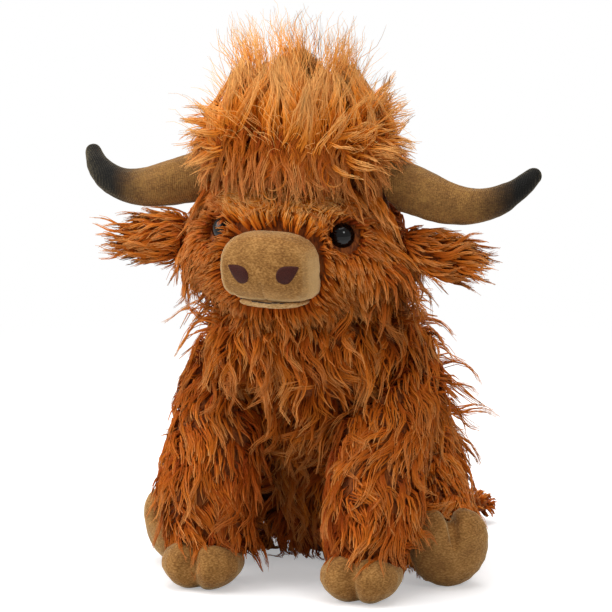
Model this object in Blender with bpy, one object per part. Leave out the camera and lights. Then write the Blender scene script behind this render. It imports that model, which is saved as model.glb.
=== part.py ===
"""A seated long-haired toy cow, about 250 mm tall.

Fur-fabric skins cover fibre filling, with a pouch of beads in the seat. The horns, ears, legs,
hooves and tail are stuffed and sewn on, and washers hold the safety eyes behind the face.
Lengths are in metres, Z is up, the cow looks along -Y, and its left side is at +X.
Places are measured from the floor and from the line through the middles of the front feet.
The last step moves the whole cow so that the origin is on the floor under the middle of its box.
"""

import math

import bmesh
import bpy
from mathutils import Matrix, Vector

# Clearances and cuts
SEAM_GAP = 0.0003  # between pieces sewn or stuffed against each other
SWING_GAP = 0.0005  # round a piece that moves past its neighbour
FLOOR_CUT = 0.0005  # how deep the floor flattens a stuffed form that rests on it
OVERRUN = 0.05  # how far a cutter runs past what it cuts
SWEEP_STEP = math.radians(25)  # largest step between two places of a cutter that swings

# Fineness of the round forms
BODY_SIDES = 24
LIMB_SIDES = 16
SMALL_SIDES = 12
ROUND = 2.0  # power of the outline of a round ring; more makes it squarer
BULGE_ANGLES = tuple(math.radians(a) for a in (24, 47, 68))
X_AXIS = Vector((1, 0, 0))
Y_AXIS = Vector((0, 1, 0))
Z_AXIS = Vector((0, 0, 1))

# Body: a leaning pear whose rounded top is the neck
SHOULDER_HEIGHT = 0.118
BODY_HALF_WIDTH = 0.052
BODY_HALF_DEPTH = 0.046
BODY_LEAN = 0.060  # how far the neck is ahead of the seat
SEAT_Y = 0.098  # middle of the seat, behind the front feet
NECK_RADIUS = 0.038
PILE = 0.009  # fur fabric with the pile that lies on it
# Share of the shoulder height, of the lean, of the half width and of the half depth
BODY_RING_SHARES = (
    (0.00, 0.00, 0.72, 0.66),
    (0.05, 0.00, 0.88, 0.84),
    (0.14, 0.02, 0.97, 0.95),
    (0.27, 0.08, 1.00, 1.00),
    (0.42, 0.21, 0.97, 1.00),
    (0.58, 0.43, 0.90, 1.03),
    (0.74, 0.65, 0.91, 1.01),
    (0.86, 0.84, 0.94, 1.00),
    (0.94, 0.95, 0.94, 0.98),
    (1.00, 1.00, 0.89, 0.92),
)
NECK_RING_ANGLES = tuple(math.radians(a) for a in (16, 33, 50, 67, 82))

# Base panel and bead pouch in the seat
PANEL_HALF_WIDTH = 0.028
PANEL_HALF_DEPTH = 0.021
PANEL_THICKNESS = 0.002
POUCH_HALF_WIDTH = 0.025
POUCH_HALF_DEPTH = 0.018
POUCH_HEIGHT = 0.024

# Head: lofted from the back of the skull to the snout
HEAD_HALF_WIDTH = 0.0475
HEAD_HALF_HEIGHT = 0.042
HEAD_HEIGHT = 0.165  # height of the widest ring's middle
HEAD_BACK_Y = 0.046
HEAD_LENGTH = 0.058  # from the first ring at the back to the snout's rim
HEAD_DROP = 0.0135  # how far the snout's middle is below the widest ring's
HEAD_BACK_BULGE = 0.013
HEAD_FRONT_BULGE = 0.003
JOWL_SHARE = 0.24  # how much the cheeks widen below the middle
# Share of the length, of the drop, of the half width and of the half height
HEAD_RING_SHARES = (
    (0.00, -0.07, 0.67, 0.71),
    (0.21, -0.07, 0.91, 0.93),
    (0.45, 0.00, 1.00, 1.00),
    (0.66, 0.22, 0.93, 0.93),
    (0.81, 0.52, 0.77, 0.77),
    (0.93, 0.81, 0.61, 0.60),
    (1.00, 1.00, 0.50, 0.47),
)

# Muzzle, lower lip, mouth thread and nostrils
MUZZLE_HALF_WIDTH = 0.0220
MUZZLE_HALF_HEIGHT = 0.0155
MUZZLE_LENGTH = 0.021
MUZZLE_CROWN = 0.006
MUZZLE_FRONT_Y = -0.031
MUZZLE_HEIGHT = 0.1513
MUZZLE_SQUARE = 2.7
MUZZLE_RING_SHARES = ((0.00, 0.90), (0.35, 1.00), (0.72, 1.00), (1.00, 0.93))
LIP_HALF_WIDTH = 0.0165
LIP_HALF_HEIGHT = 0.0022
LIP_LENGTH = 0.018
LIP_CROWN = 0.0035
LIP_SETBACK = 0.005  # from the muzzle's front to the lip's
LIP_RING_SHARES = ((0.00, 0.94), (0.50, 1.00), (1.00, 0.92))
THREAD_RADIUS = 0.0005
THREAD_POINTS = 16
THREAD_SPREAD = math.radians(68)  # each side of straight ahead
NOSTRIL_X = 0.0112
NOSTRIL_DROP = 0.0004  # below the muzzle's middle
NOSTRIL_LENGTH = 0.0118  # from the round end to the point
NOSTRIL_RADIUS = 0.0042
NOSTRIL_TURN = math.radians(32)  # the point is turned up by this from sideways
NOSTRIL_RAISED = 0.0008
NOSTRIL_POINTS = 14

# Safety eyes
EYE_X = 0.0279
EYE_Y = -0.0015
EYE_HEIGHT = 0.1641
EYE_YAW = math.radians(44)  # turned outwards from straight ahead
EYE_RADIUS = 0.006
EYE_DOME_HEIGHT = 0.0052
SHANK_RADIUS = 0.0020
SHANK_LENGTH = 0.0105
SHANK_TIP_RADIUS = 0.0014
EYE_SKIN = 0.0058  # fabric and short pile between the eye and its washer
WASHER_RADIUS = 0.0062
WASHER_THICKNESS = 0.0013
EYE_POCKET = 0.0010  # free width round the eye
EYE_SIDES = 18

# Forelock: the long tuft on the crown
FORELOCK_BASE = 0.187
FORELOCK_HEIGHT = 0.058
FORELOCK_HALF_WIDTH = 0.045
FORELOCK_HALF_DEPTH = 0.032
FORELOCK_Y = 0.019
FORELOCK_LEAN = 0.004
FORELOCK_BULGE = 0.005
# Share of the height, of the lean, of the half width and of the half depth
FORELOCK_RING_SHARES = (
    (0.00, 0.0, 0.80, 0.95),
    (0.18, 0.1, 0.92, 1.00),
    (0.36, 0.2, 1.00, 1.00),
    (0.52, 0.4, 0.95, 0.96),
    (0.68, 0.6, 0.84, 0.84),
    (0.84, 0.8, 0.66, 0.64),
    (1.00, 1.0, 0.42, 0.40),
)
FORELOCK_LOCKS = 9
FORELOCK_LOCK_DEPTH_SHARE = 0.14  # how deep the gaps between its locks are

# Horns: out from the head, sagging a little, then up and back at the tip
HORN_SPAN = 0.0693  # sideways, from the first ring to the last
HORN_ROOT_X = 0.036
HORN_ROOT_Y = 0.025
HORN_ROOT_HEIGHT = 0.186
HORN_DIP = 0.009
HORN_RISE = 0.013
HORN_SWEEP = 0.0135
HORN_RADIUS = 0.0115
HORN_TIP_BULGE = 0.0035
# Share of the span, of the sweep, of the dip or rise, and of the radius
HORN_RING_SHARES = (
    (0.00, 0.30, "dip", 0.00, 1.00),
    (0.19, 0.26, "dip", 0.33, 0.97),
    (0.39, 0.00, "dip", 0.72, 0.88),
    (0.52, 0.00, "dip", 0.95, 0.79),
    (0.63, 0.04, "dip", 1.00, 0.71),
    (0.74, 0.08, "rise", 0.08, 0.63),
    (0.85, 0.24, "rise", 0.31, 0.53),
    (0.94, 0.57, "rise", 0.65, 0.42),
    (1.00, 1.00, "rise", 1.00, 0.32),
)

# Ears: flat leaves under the horns
EAR_ROOT_X = 0.0420
EAR_LENGTH = 0.037
EAR_Y = 0.0165
EAR_HEIGHT = 0.1575
EAR_DROOP = 0.0035
EAR_HALF_HEIGHT = 0.0105
EAR_HALF_THICKNESS = 0.0055
EAR_TIP_BULGE = 0.004
EAR_PIVOT_X = 0.0465
EAR_SWING = math.radians(25)
# Share of the length, of the droop, of the half height and of the half thickness
EAR_RING_SHARES = (
    (0.00, 0.0, 0.55, 0.80),
    (0.22, 0.2, 0.85, 1.00),
    (0.50, 0.5, 1.00, 1.00),
    (0.78, 0.8, 0.88, 0.90),
    (1.00, 1.0, 0.52, 0.70),
)

# Front legs, hanging from the shoulders
FRONT_LEG_X = 0.038
FRONT_LEG_HALF_WIDTH = 0.0215
FRONT_LEG_HALF_DEPTH = 0.0205
FRONT_LEG_TOP = 0.102
FRONT_LEG_BOTTOM = 0.016
FRONT_LEG_LEAN = 0.037  # how far the top is behind the bottom
FRONT_LEG_FOOT_Y = 0.005
FRONT_LEG_SPREAD = 0.003  # how far the top is further out
FRONT_LEG_TOP_BULGE = 0.008
FRONT_LEG_BOTTOM_BULGE = 0.003
SHOULDER_PIVOT_Y = 0.036
SHOULDER_PIVOT_HEIGHT = 0.090
FRONT_LEG_BACK_SWING = math.radians(4)
FRONT_LEG_FRONT_SWING = math.radians(30)
# Share of the height, of the lean, of the half width and of the half depth
FRONT_LEG_RING_SHARES = (
    (0.00, 0.00, 0.80, 0.76),
    (0.14, 0.01, 0.93, 0.88),
    (0.36, 0.08, 1.00, 0.97),
    (0.62, 0.38, 0.98, 1.00),
    (0.86, 0.78, 0.94, 0.97),
    (1.00, 1.00, 0.82, 0.82),
)

# Hind legs, lying forwards and outwards on the floor
HIP_X = 0.029
HIP_Y = 0.096
HIND_LEG_LENGTH = 0.0705
HIND_LEG_YAW = math.radians(31.5)
HIND_LEG_HALF_WIDTH = 0.020
HIND_LEG_HALF_HEIGHT = 0.028
HIND_LEG_BACK_BULGE = 0.012
HIND_LEG_FRONT_BULGE = 0.004
HIND_LEG_OUT_SWING = math.radians(22)
# Share of the length, of the half width and of the half height
HIND_LEG_RING_SHARES = (
    (0.00, 0.74, 0.80),
    (0.20, 0.92, 0.97),
    (0.45, 0.97, 1.00),
    (0.70, 0.80, 0.84),
    (0.88, 0.70, 0.66),
)

# Cloven hooves
HOOF_HALF_WIDTH = 0.0180
HOOF_HALF_LENGTH = 0.0185
HOOF_HALF_HEIGHT = 0.0120
HOOF_TOE_SHARE = 0.22  # how much fuller the toes are than the heel
CLEFT_DEPTH = 0.0045
CLEFT_HALF_WIDTH = 0.0032
FRONT_HOOF_Y = -0.001
HIND_HOOF_LEAN = math.radians(8)
HOOF_SEGMENTS = 20
HOOF_RINGS = 11

# Tail and its tuft, lying on the floor behind the seat
TAIL_RADIUS = 0.005
TAIL_ROOT_HEIGHT = 0.034
TAIL_REACH = 0.022
TAIL_SIDE = 0.012
TAIL_ROOT_SINK = 0.006
TAIL_SWING = math.radians(25)
TUFT_LENGTH = 0.028
TUFT_RADIUS = 0.0095
TUFT_BULGE = 0.008
# Share of the reach, of the sideways turn and of the drop, and of the radius
TAIL_RING_SHARES = (
    (0.00, 0.00, 0.00, 1.00),
    (0.42, 0.02, 0.18, 1.00),
    (0.75, 0.10, 0.55, 0.92),
    (0.95, 0.40, 0.88, 0.88),
    (1.00, 1.00, 1.00, 0.88),
)
TUFT_RING_SHARES = ((0.00, 0.62), (0.30, 0.94), (0.62, 1.00), (1.00, 0.70))

# Colours as linear values, roughness
FINISHES = {
    "fur": ((0.42, 0.145, 0.040, 1), 0.85),
    "velboa": ((0.40, 0.27, 0.125, 1), 0.80),
    "horn_velboa": ((0.22, 0.145, 0.070, 1), 0.80),
    "black_plastic": ((0.010, 0.009, 0.009, 1), 0.08),
    "washer_plastic": ((0.75, 0.75, 0.72, 1), 0.45),
    "dark_thread": ((0.075, 0.028, 0.022, 1), 0.60),
    "filling": ((0.85, 0.85, 0.82, 1), 0.95),
    "cotton": ((0.30, 0.13, 0.05, 1), 0.90),
}

places = {}


def clear_scene():
    for obj in list(bpy.data.objects):
        bpy.data.objects.remove(obj, do_unlink=True)


def material(finish):
    """The material of that finish, made once."""
    if finish in bpy.data.materials:
        return bpy.data.materials[finish]
    made = bpy.data.materials.new(finish)
    made.use_nodes = True
    colour, roughness = FINISHES[finish]
    shader = made.node_tree.nodes["Principled BSDF"]
    shader.inputs["Base Color"].default_value = colour
    shader.inputs["Roughness"].default_value = roughness
    shader.inputs["Metallic"].default_value = 0
    return made


def ring_frame(centre, normal, across):
    """Lays a flat unit circle at centre, square to normal, with its x along across."""
    normal = normal.normalized()
    side = (across - normal * across.dot(normal)).normalized()
    frame = Matrix((side, normal.cross(side), normal)).transposed().to_4x4()
    frame.translation = centre
    return frame


def smooth(stations, steps):
    """More rings along a smooth curve through the given ones (Catmull-Rom)."""
    rows = [Vector(s) for s in stations]
    rows = [2 * rows[0] - rows[1], *rows, 2 * rows[-1] - rows[-2]]
    found = []
    for a, b, c, d in zip(rows, rows[1:], rows[2:], rows[3:]):
        for step in range(steps):
            t = step / steps
            cubic = (3 * b - 3 * c + d - a) * t**3
            square = (2 * a - 5 * b + 4 * c - d) * t**2
            found.append((2 * b + (c - a) * t + square + cubic) / 2)
    return [*found, rows[-2]]


def stuffed_form(stations, across, sides, bulges=(0, 0), normal=None, square=ROUND):
    """A closed form lofted through stations of x, y, z, half width and half depth.

    Each end swells out by its bulge. Rings lie square to the path, or to normal if it is given.
    """
    rings = []
    for i, row in enumerate(stations):
        before, after = stations[max(i - 1, 0)], stations[min(i + 1, len(stations) - 1)]
        tangent = normal or Vector(after[:3]) - Vector(before[:3])
        rings.append((Vector(row[:3]), tangent.normalized(), row[3], row[4]))
    ends = []
    for number, outwards in ((0, -1), (-1, 1)):
        centre, tangent, width, depth = rings[number]
        end = []
        for angle in BULGE_ANGLES if bulges[number] else ():
            spot = centre + tangent * outwards * bulges[number] * math.sin(angle)
            end.append((spot, tangent, width * math.cos(angle), depth * math.cos(angle)))
        ends.append(end)
    rings = [*reversed(ends[0]), *rings, *ends[1]]
    bm = bmesh.new()
    last = None
    for number, (centre, tangent, width, depth) in enumerate(rings):
        placement = ring_frame(centre, tangent, across) @ Matrix.Diagonal((width, depth, 1, 1))
        closed = number in (0, len(rings) - 1)
        circle = bmesh.ops.create_circle(bm, segments=sides, radius=1, cap_ends=closed)["verts"]
        for vert in circle:
            x, y, _ = vert.co
            vert.co.x = math.copysign(abs(x) ** (ROUND / square), x)
            vert.co.y = math.copysign(abs(y) ** (ROUND / square), y)
        bmesh.ops.transform(bm, matrix=placement, verts=circle)
        edges = list(dict.fromkeys(edge for vert in circle for edge in vert.link_edges))
        if last:
            bmesh.ops.bridge_loops(bm, edges=last + edges)
        last = edges
    bmesh.ops.recalc_face_normals(bm, faces=bm.faces)
    return bm


def add(name, bm, finish, origin, parent):
    """Makes an object of the shape, which is in the cow's own frame, with its origin at a point there."""
    mesh = bpy.data.meshes.new(name)
    bm.to_mesh(mesh)
    bm.free()
    origin = Vector(origin)
    mesh.transform(Matrix.Translation(-origin))
    mesh.shade_smooth()
    mesh.set_sharp_from_angle(angle=math.radians(50))
    mesh.materials.append(material(finish))
    obj = bpy.data.objects.new(name, mesh)
    bpy.context.scene.collection.objects.link(obj)
    obj.parent = parent
    obj.location = origin - places[parent.name]
    places[name] = origin
    return obj


def pivot(name, point, parent=None):
    """An empty on a joint's axis, which carries the pieces that move with it."""
    empty = bpy.data.objects.new(name, None)
    bpy.context.scene.collection.objects.link(empty)
    places[name] = Vector(point)
    empty.parent = parent
    empty.location = places[name] - (places[parent.name] if parent else Vector())
    return empty


def hidden(obj):
    obj.hide_render = True
    obj.display_type = "WIRE"
    return obj


def cutter(name, bm, parent):
    """A helper shape in the cow's own frame, which is not a piece."""
    return hidden(add(name, bm, "filling", places[parent.name], parent))


def room_round(piece, gap, name, turn=None):
    """A cutter of the piece's uncut shape, larger by the gap, and turned about a point if asked."""
    mesh = piece.data.copy()
    mesh.transform(Matrix.Translation(places[piece.name]))
    if turn:
        point, axis, angle = turn
        mesh.transform(
            Matrix.Translation(point) @ Matrix.Rotation(angle, 4, axis) @ Matrix.Translation(-point)
        )
    obj = bpy.data.objects.new(name, mesh)
    bpy.context.scene.collection.objects.link(obj)
    obj.parent = root
    swell = obj.modifiers.new("gap", "DISPLACE")
    swell.strength = gap
    swell.mid_level = 0
    return hidden(obj)


def cut(piece, *cutters):
    for tool in cutters:
        boolean = piece.modifiers.new("cut by " + tool.name, "BOOLEAN")
        boolean.operation = "DIFFERENCE"
        boolean.solver = "EXACT"
        boolean.object = tool


def cut_for_swing(piece, neighbour, point, axis, low, high):
    """Cuts from the piece all that its neighbour passes through as the piece swings from low to high."""
    angles = [0]
    for end in (low, high):
        steps = math.ceil(abs(end) / SWEEP_STEP)
        angles += [end * (step + 1) / steps for step in range(steps)]
    for number, angle in enumerate(angles):
        name = f"{piece.name}_room_{number}"
        cut(piece, room_round(neighbour, SWING_GAP, name, (point, axis, -angle)))


def skin_and_filling(skin, filling):
    """Hollows the skin to its thickness, and shrinks the filling so that it fits inside."""
    shell = skin.modifiers.new("skin", "SOLIDIFY")
    shell.thickness = PILE
    shell.offset = -1
    shrink = filling.modifiers.new("shrink", "DISPLACE")
    shrink.strength = -(PILE + SEAM_GAP)
    shrink.mid_level = 0


def neck_rings(radius):
    """Level rings of the rounded neck."""
    rings = []
    for angle in NECK_RING_ANGLES:
        wide = radius * math.cos(angle)
        rings.append((0, SEAT_Y - BODY_LEAN, SHOULDER_HEIGHT + radius * math.sin(angle), wide, wide))
    return rings


def body_rings():
    """Rings of the leaning pear, with the round neck on top."""
    rings = []
    for up, lean, wide, deep in BODY_RING_SHARES:
        y = SEAT_Y - BODY_LEAN * lean
        rings.append((0, y, SHOULDER_HEIGHT * up, BODY_HALF_WIDTH * wide, BODY_HALF_DEPTH * deep))
    return rings + neck_rings(NECK_RADIUS)


def ellipse_prism(half_width, half_depth, low, high):
    """An upright prism on an ellipse round the middle of the seat."""
    stations = [(0, SEAT_Y, z, half_width, half_depth) for z in (low, high)]
    return stuffed_form(stations, X_AXIS, BODY_SIDES, normal=Z_AXIS)


def pouch_form(grow):
    """The bead pouch: a squashed ball that stands on the base panel."""
    bottom = PANEL_THICKNESS + SEAM_GAP
    bm = bmesh.new()
    bmesh.ops.create_uvsphere(bm, u_segments=LIMB_SIDES, v_segments=LIMB_SIDES // 2, radius=1)
    sizes = (POUCH_HALF_WIDTH + grow, POUCH_HALF_DEPTH + grow, POUCH_HEIGHT / 2 + grow)
    bmesh.ops.scale(bm, vec=sizes, verts=bm.verts)
    bmesh.ops.translate(bm, vec=(0, SEAT_Y, bottom + POUCH_HEIGHT / 2), verts=bm.verts)
    return bm


def build_body():
    seat = (0, SEAT_Y, 0)
    rings = body_rings()
    body = add("body", stuffed_form(rings, X_AXIS, BODY_SIDES, normal=Z_AXIS), "fur", seat, root)
    filling_form = stuffed_form(rings, X_AXIS, BODY_SIDES, normal=Z_AXIS)
    filling = add("body_filling", filling_form, "filling", seat, root)
    skin_and_filling(body, filling)
    hole = ellipse_prism(PANEL_HALF_WIDTH, PANEL_HALF_DEPTH, -OVERRUN, PILE + SEAM_GAP / 2)
    cut(body, cutter("seat_opening", hole, root))
    panel_form = ellipse_prism(PANEL_HALF_WIDTH - SEAM_GAP, PANEL_HALF_DEPTH - SEAM_GAP, 0, PANEL_THICKNESS)
    add("base_panel", panel_form, "cotton", seat, root)
    add("bead_pouch", pouch_form(0), "cotton", seat, root)
    cut(filling, cutter("pouch_pocket", pouch_form(SEAM_GAP), root))
    x, y, z, wide, deep = rings[0]
    below = (x, y, z - OVERRUN, wide, deep)
    return cutter("body_outside", stuffed_form([below, *rings], X_AXIS, BODY_SIDES, normal=Z_AXIS), root)


def head_form():
    """The head's outer form, with the cheeks widened below the middle."""
    rings = []
    for along, drop, wide, high in HEAD_RING_SHARES:
        y, z = HEAD_BACK_Y - HEAD_LENGTH * along, HEAD_HEIGHT - HEAD_DROP * drop
        rings.append((0, y, z, HEAD_HALF_WIDTH * wide, HEAD_HALF_HEIGHT * high))
    bulges = (HEAD_BACK_BULGE, HEAD_FRONT_BULGE)
    bm = stuffed_form(rings, X_AXIS, BODY_SIDES, bulges, normal=-Y_AXIS)
    for vert in bm.verts:
        below = (HEAD_HEIGHT - vert.co.z) / HEAD_HALF_HEIGHT
        vert.co.x *= 1 + JOWL_SHARE * math.sin(math.pi * max(0, min(1, below)))
    return bm


def neck_socket():
    """A round cutter that the neck turns in, wide enough for the shoulders below it."""
    neck_y = SEAT_Y - BODY_LEAN
    wide = BODY_HALF_WIDTH * BODY_RING_SHARES[-1][2] + SWING_GAP
    rings = [(0, neck_y, SHOULDER_HEIGHT - OVERRUN, wide, wide), (0, neck_y, SHOULDER_HEIGHT, wide, wide)]
    rings += neck_rings(NECK_RADIUS + SWING_GAP)
    return stuffed_form(rings, X_AXIS, BODY_SIDES, normal=Z_AXIS)


def build_head():
    origin = (0, SEAT_Y - BODY_LEAN, SHOULDER_HEIGHT)
    head = add("head", head_form(), "fur", origin, neck)
    filling = add("head_filling", head_form(), "filling", origin, neck)
    plain = hidden(add("head_outside", head_form(), "fur", origin, neck))
    skin_and_filling(head, filling)
    socket = cutter("neck_socket", neck_socket(), neck)
    cut(head, socket)
    cut(filling, socket)
    return head, filling, plain


def turned_solid(profile, sides):
    """A solid turned about Z from a profile of radius and height that starts and ends on the axis."""
    bm = bmesh.new()
    points = [bm.verts.new((radius, 0, height)) for radius, height in profile]
    edges = [bm.edges.new(pair) for pair in zip(points, points[1:])]
    bmesh.ops.spin(
        bm, geom=points + edges, axis=Z_AXIS, cent=Vector(), angle=math.tau, steps=sides, use_merge=True
    )
    bmesh.ops.remove_doubles(bm, verts=bm.verts, dist=SEAM_GAP / 100)
    bmesh.ops.recalc_face_normals(bm, faces=bm.faces)
    return bm


def eye_placement(side):
    """The frame of an eye: its base is at the origin and it looks along +Z."""
    looks = Vector((side * math.sin(EYE_YAW), -math.cos(EYE_YAW), 0))
    return ring_frame(Vector((side * EYE_X, EYE_Y, EYE_HEIGHT)), looks, Z_AXIS)


def build_eye(side, word, head, filling):
    place = eye_placement(side)
    dome = [
        (EYE_RADIUS * math.cos(a), EYE_DOME_HEIGHT * math.sin(a))
        for a in (math.radians(d) for d in (0, 18, 36, 54, 72, 90))
    ]
    dome[-1] = (0, EYE_DOME_HEIGHT)
    tip = SHANK_LENGTH - (SHANK_RADIUS - SHANK_TIP_RADIUS)
    shank = [(0, -SHANK_LENGTH), (SHANK_TIP_RADIUS, -SHANK_LENGTH), (SHANK_RADIUS, -tip), (SHANK_RADIUS, 0)]
    bm = turned_solid(shank + dome, EYE_SIDES)
    bmesh.ops.transform(bm, matrix=place, verts=bm.verts)
    add(f"eye_{word}", bm, "black_plastic", place.translation, neck)

    hole = SHANK_RADIUS + SEAM_GAP
    front = -(EYE_SKIN + SEAM_GAP)
    back = front - WASHER_THICKNESS
    bm = bmesh.new()
    corners = [(hole, front), (WASHER_RADIUS, front), (WASHER_RADIUS, back), (hole, back)]
    points = [bm.verts.new((radius, 0, height)) for radius, height in corners]
    edges = [bm.edges.new(pair) for pair in zip(points, points[1:] + points[:1])]
    bmesh.ops.spin(
        bm, geom=points + edges, axis=Z_AXIS, cent=Vector(), angle=math.tau, steps=EYE_SIDES, use_merge=True
    )
    bmesh.ops.remove_doubles(bm, verts=bm.verts, dist=SEAM_GAP / 100)
    bmesh.ops.recalc_face_normals(bm, faces=bm.faces)
    bmesh.ops.transform(bm, matrix=place, verts=bm.verts)
    add(f"eye_washer_{word}", bm, "washer_plastic", place.translation, neck)

    wide, washer = EYE_RADIUS + EYE_POCKET, WASHER_RADIUS + SEAM_GAP
    pocket = [
        (0, -(SHANK_LENGTH + SEAM_GAP)),
        (hole, -(SHANK_LENGTH + SEAM_GAP)),
        (hole, back - SEAM_GAP),
        (washer, back - SEAM_GAP),
        (washer, -EYE_SKIN),
        (hole, -EYE_SKIN),
        (hole, -SEAM_GAP),
        (wide, -SEAM_GAP),
        (wide, OVERRUN),
        (0, OVERRUN),
    ]
    bm = turned_solid(pocket, EYE_SIDES)
    bmesh.ops.transform(bm, matrix=place, verts=bm.verts)
    pocket = cutter(f"eye_pocket_{word}", bm, neck)
    cut(head, pocket)
    cut(filling, pocket)


def muzzle_rings():
    back = MUZZLE_FRONT_Y + MUZZLE_CROWN + MUZZLE_LENGTH
    rings = []
    for along, size in MUZZLE_RING_SHARES:
        y = back - MUZZLE_LENGTH * along
        rings.append((0, y, MUZZLE_HEIGHT, MUZZLE_HALF_WIDTH * size, MUZZLE_HALF_HEIGHT * size))
    return rings


def muzzle_form():
    return stuffed_form(
        smooth(muzzle_rings(), 2), X_AXIS, BODY_SIDES, (0, MUZZLE_CROWN), -Y_AXIS, MUZZLE_SQUARE
    )


def lip_form():
    front = MUZZLE_FRONT_Y + LIP_SETBACK + LIP_CROWN
    height = MUZZLE_HEIGHT - MUZZLE_HALF_HEIGHT - SEAM_GAP - LIP_HALF_HEIGHT / 2
    rings = [
        (0, front + LIP_LENGTH * (1 - along), height, LIP_HALF_WIDTH * size, LIP_HALF_HEIGHT * size)
        for along, size in LIP_RING_SHARES
    ]
    return stuffed_form(rings, X_AXIS, LIMB_SIDES, (0, LIP_CROWN), -Y_AXIS)


def thread_tube(name, radius, finish):
    """A stitched line in the crease between muzzle and lip, round the front of the mouth."""
    height = MUZZLE_HEIGHT - MUZZLE_HALF_HEIGHT
    depth = LIP_LENGTH / 2 + LIP_CROWN
    middle = MUZZLE_FRONT_Y + LIP_SETBACK + depth
    curve = bpy.data.curves.new(name, "CURVE")
    curve.dimensions = "3D"
    curve.bevel_depth = radius
    curve.bevel_resolution = 1
    curve.use_fill_caps = True
    line = curve.splines.new("POLY")
    line.points.add(THREAD_POINTS - 1)
    for number, point in enumerate(line.points):
        angle = THREAD_SPREAD * (2 * number / (THREAD_POINTS - 1) - 1)
        x = LIP_HALF_WIDTH * math.sin(angle)
        point.co = (x, middle - depth * math.cos(angle), height, 1)
    shape = bpy.data.objects.new(name + "_path", curve)
    bpy.context.scene.collection.objects.link(shape)
    mesh = bpy.data.meshes.new_from_object(shape)
    bpy.data.objects.remove(shape)
    bm = bmesh.new()
    bm.from_mesh(mesh)
    bmesh.ops.remove_doubles(bm, verts=bm.verts, dist=SEAM_GAP / 100)
    bmesh.ops.recalc_face_normals(bm, faces=bm.faces)
    return add(name, bm, finish, (0, MUZZLE_FRONT_Y, height), neck)


def nostril_prism(side):
    """A drop-shaped prism along Y: round at its lower inner end, pointed at its upper outer end."""
    touch = math.acos(NOSTRIL_RADIUS / (NOSTRIL_LENGTH - NOSTRIL_RADIUS))
    sweep = math.tau - 2 * touch
    outline = [
        (NOSTRIL_RADIUS * math.cos(a), NOSTRIL_RADIUS * math.sin(a))
        for a in (touch + sweep * i / (NOSTRIL_POINTS - 1) for i in range(NOSTRIL_POINTS))
    ]
    outline.append((NOSTRIL_LENGTH - NOSTRIL_RADIUS, 0))
    bm = bmesh.new()
    shift = (NOSTRIL_LENGTH - 2 * NOSTRIL_RADIUS) / 2
    verts = [bm.verts.new((x - shift, 0, z)) for x, z in outline]
    face = bm.faces.new(verts)
    grown = bmesh.ops.extrude_face_region(bm, geom=[face])["geom"]
    far = [g for g in grown if isinstance(g, bmesh.types.BMVert)]
    bmesh.ops.translate(bm, vec=(0, -OVERRUN, 0), verts=far)
    bmesh.ops.rotate(bm, verts=bm.verts, cent=Vector(), matrix=Matrix.Rotation(-NOSTRIL_TURN, 3, "Y"))
    if side < 0:
        bmesh.ops.scale(bm, vec=(-1, 1, 1), verts=bm.verts)
    middle_y = MUZZLE_FRONT_Y + MUZZLE_CROWN + MUZZLE_LENGTH / 2
    start = (side * NOSTRIL_X, middle_y, MUZZLE_HEIGHT - NOSTRIL_DROP)
    bmesh.ops.translate(bm, vec=start, verts=bm.verts)
    bmesh.ops.recalc_face_normals(bm, faces=bm.faces)
    return bm


def build_nostril(side, word, under):
    """An embroidered patch: the drop-shaped part of a thin layer over the muzzle's front."""
    origin = (side * NOSTRIL_X, MUZZLE_FRONT_Y, MUZZLE_HEIGHT)
    patch = add(f"nostril_{word}", muzzle_form(), "dark_thread", origin, neck)
    swell = patch.modifiers.new("raised", "DISPLACE")
    swell.strength = SEAM_GAP + NOSTRIL_RAISED
    swell.mid_level = 0
    keep = patch.modifiers.new("outline", "BOOLEAN")
    keep.operation = "INTERSECT"
    keep.solver = "EXACT"
    keep.object = cutter(f"nostril_outline_{word}", nostril_prism(side), neck)
    cut(patch, under)


def build_muzzle(head_outside):
    origin = (0, MUZZLE_FRONT_Y, MUZZLE_HEIGHT)
    face = room_round(head_outside, SEAM_GAP, "head_seam")
    muzzle = add("muzzle", muzzle_form(), "velboa", origin, neck)
    under = room_round(muzzle, SEAM_GAP, "muzzle_seam")
    lip = add("lower_lip", lip_form(), "velboa", origin, neck)
    cut(lip, face, under)
    cut(muzzle, face)
    thread_tube("mouth_thread", THREAD_RADIUS, "dark_thread")
    groove = hidden(thread_tube("mouth_groove", THREAD_RADIUS + SEAM_GAP, "filling"))
    cut(muzzle, groove)
    cut(lip, groove)
    for side, word in SIDES:
        build_nostril(side, word, under)
    return face


def horn_form(side):
    rings = []
    for along, back, way, climb, size in HORN_RING_SHARES:
        height = HORN_ROOT_HEIGHT - HORN_DIP * (climb if way == "dip" else 1)
        height += HORN_RISE * (climb if way == "rise" else 0)
        x = side * (HORN_ROOT_X + HORN_SPAN * along)
        y = HORN_ROOT_Y + HORN_SWEEP * (back - HORN_RING_SHARES[0][1])
        rings.append((x, y, height, HORN_RADIUS * size, HORN_RADIUS * size))
    return stuffed_form(smooth(rings, 2), Z_AXIS, SMALL_SIDES, (0, HORN_TIP_BULGE))


def build_horns(head_seam):
    horns = []
    for side, word in SIDES:
        origin = (side * HORN_ROOT_X, HORN_ROOT_Y, HORN_ROOT_HEIGHT)
        horn = add(f"horn_{word}", horn_form(side), "horn_velboa", origin, neck)
        horns.append((horn, room_round(horn, SEAM_GAP, f"horn_seam_{word}")))
        cut(horn, head_seam)
    return horns


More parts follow.
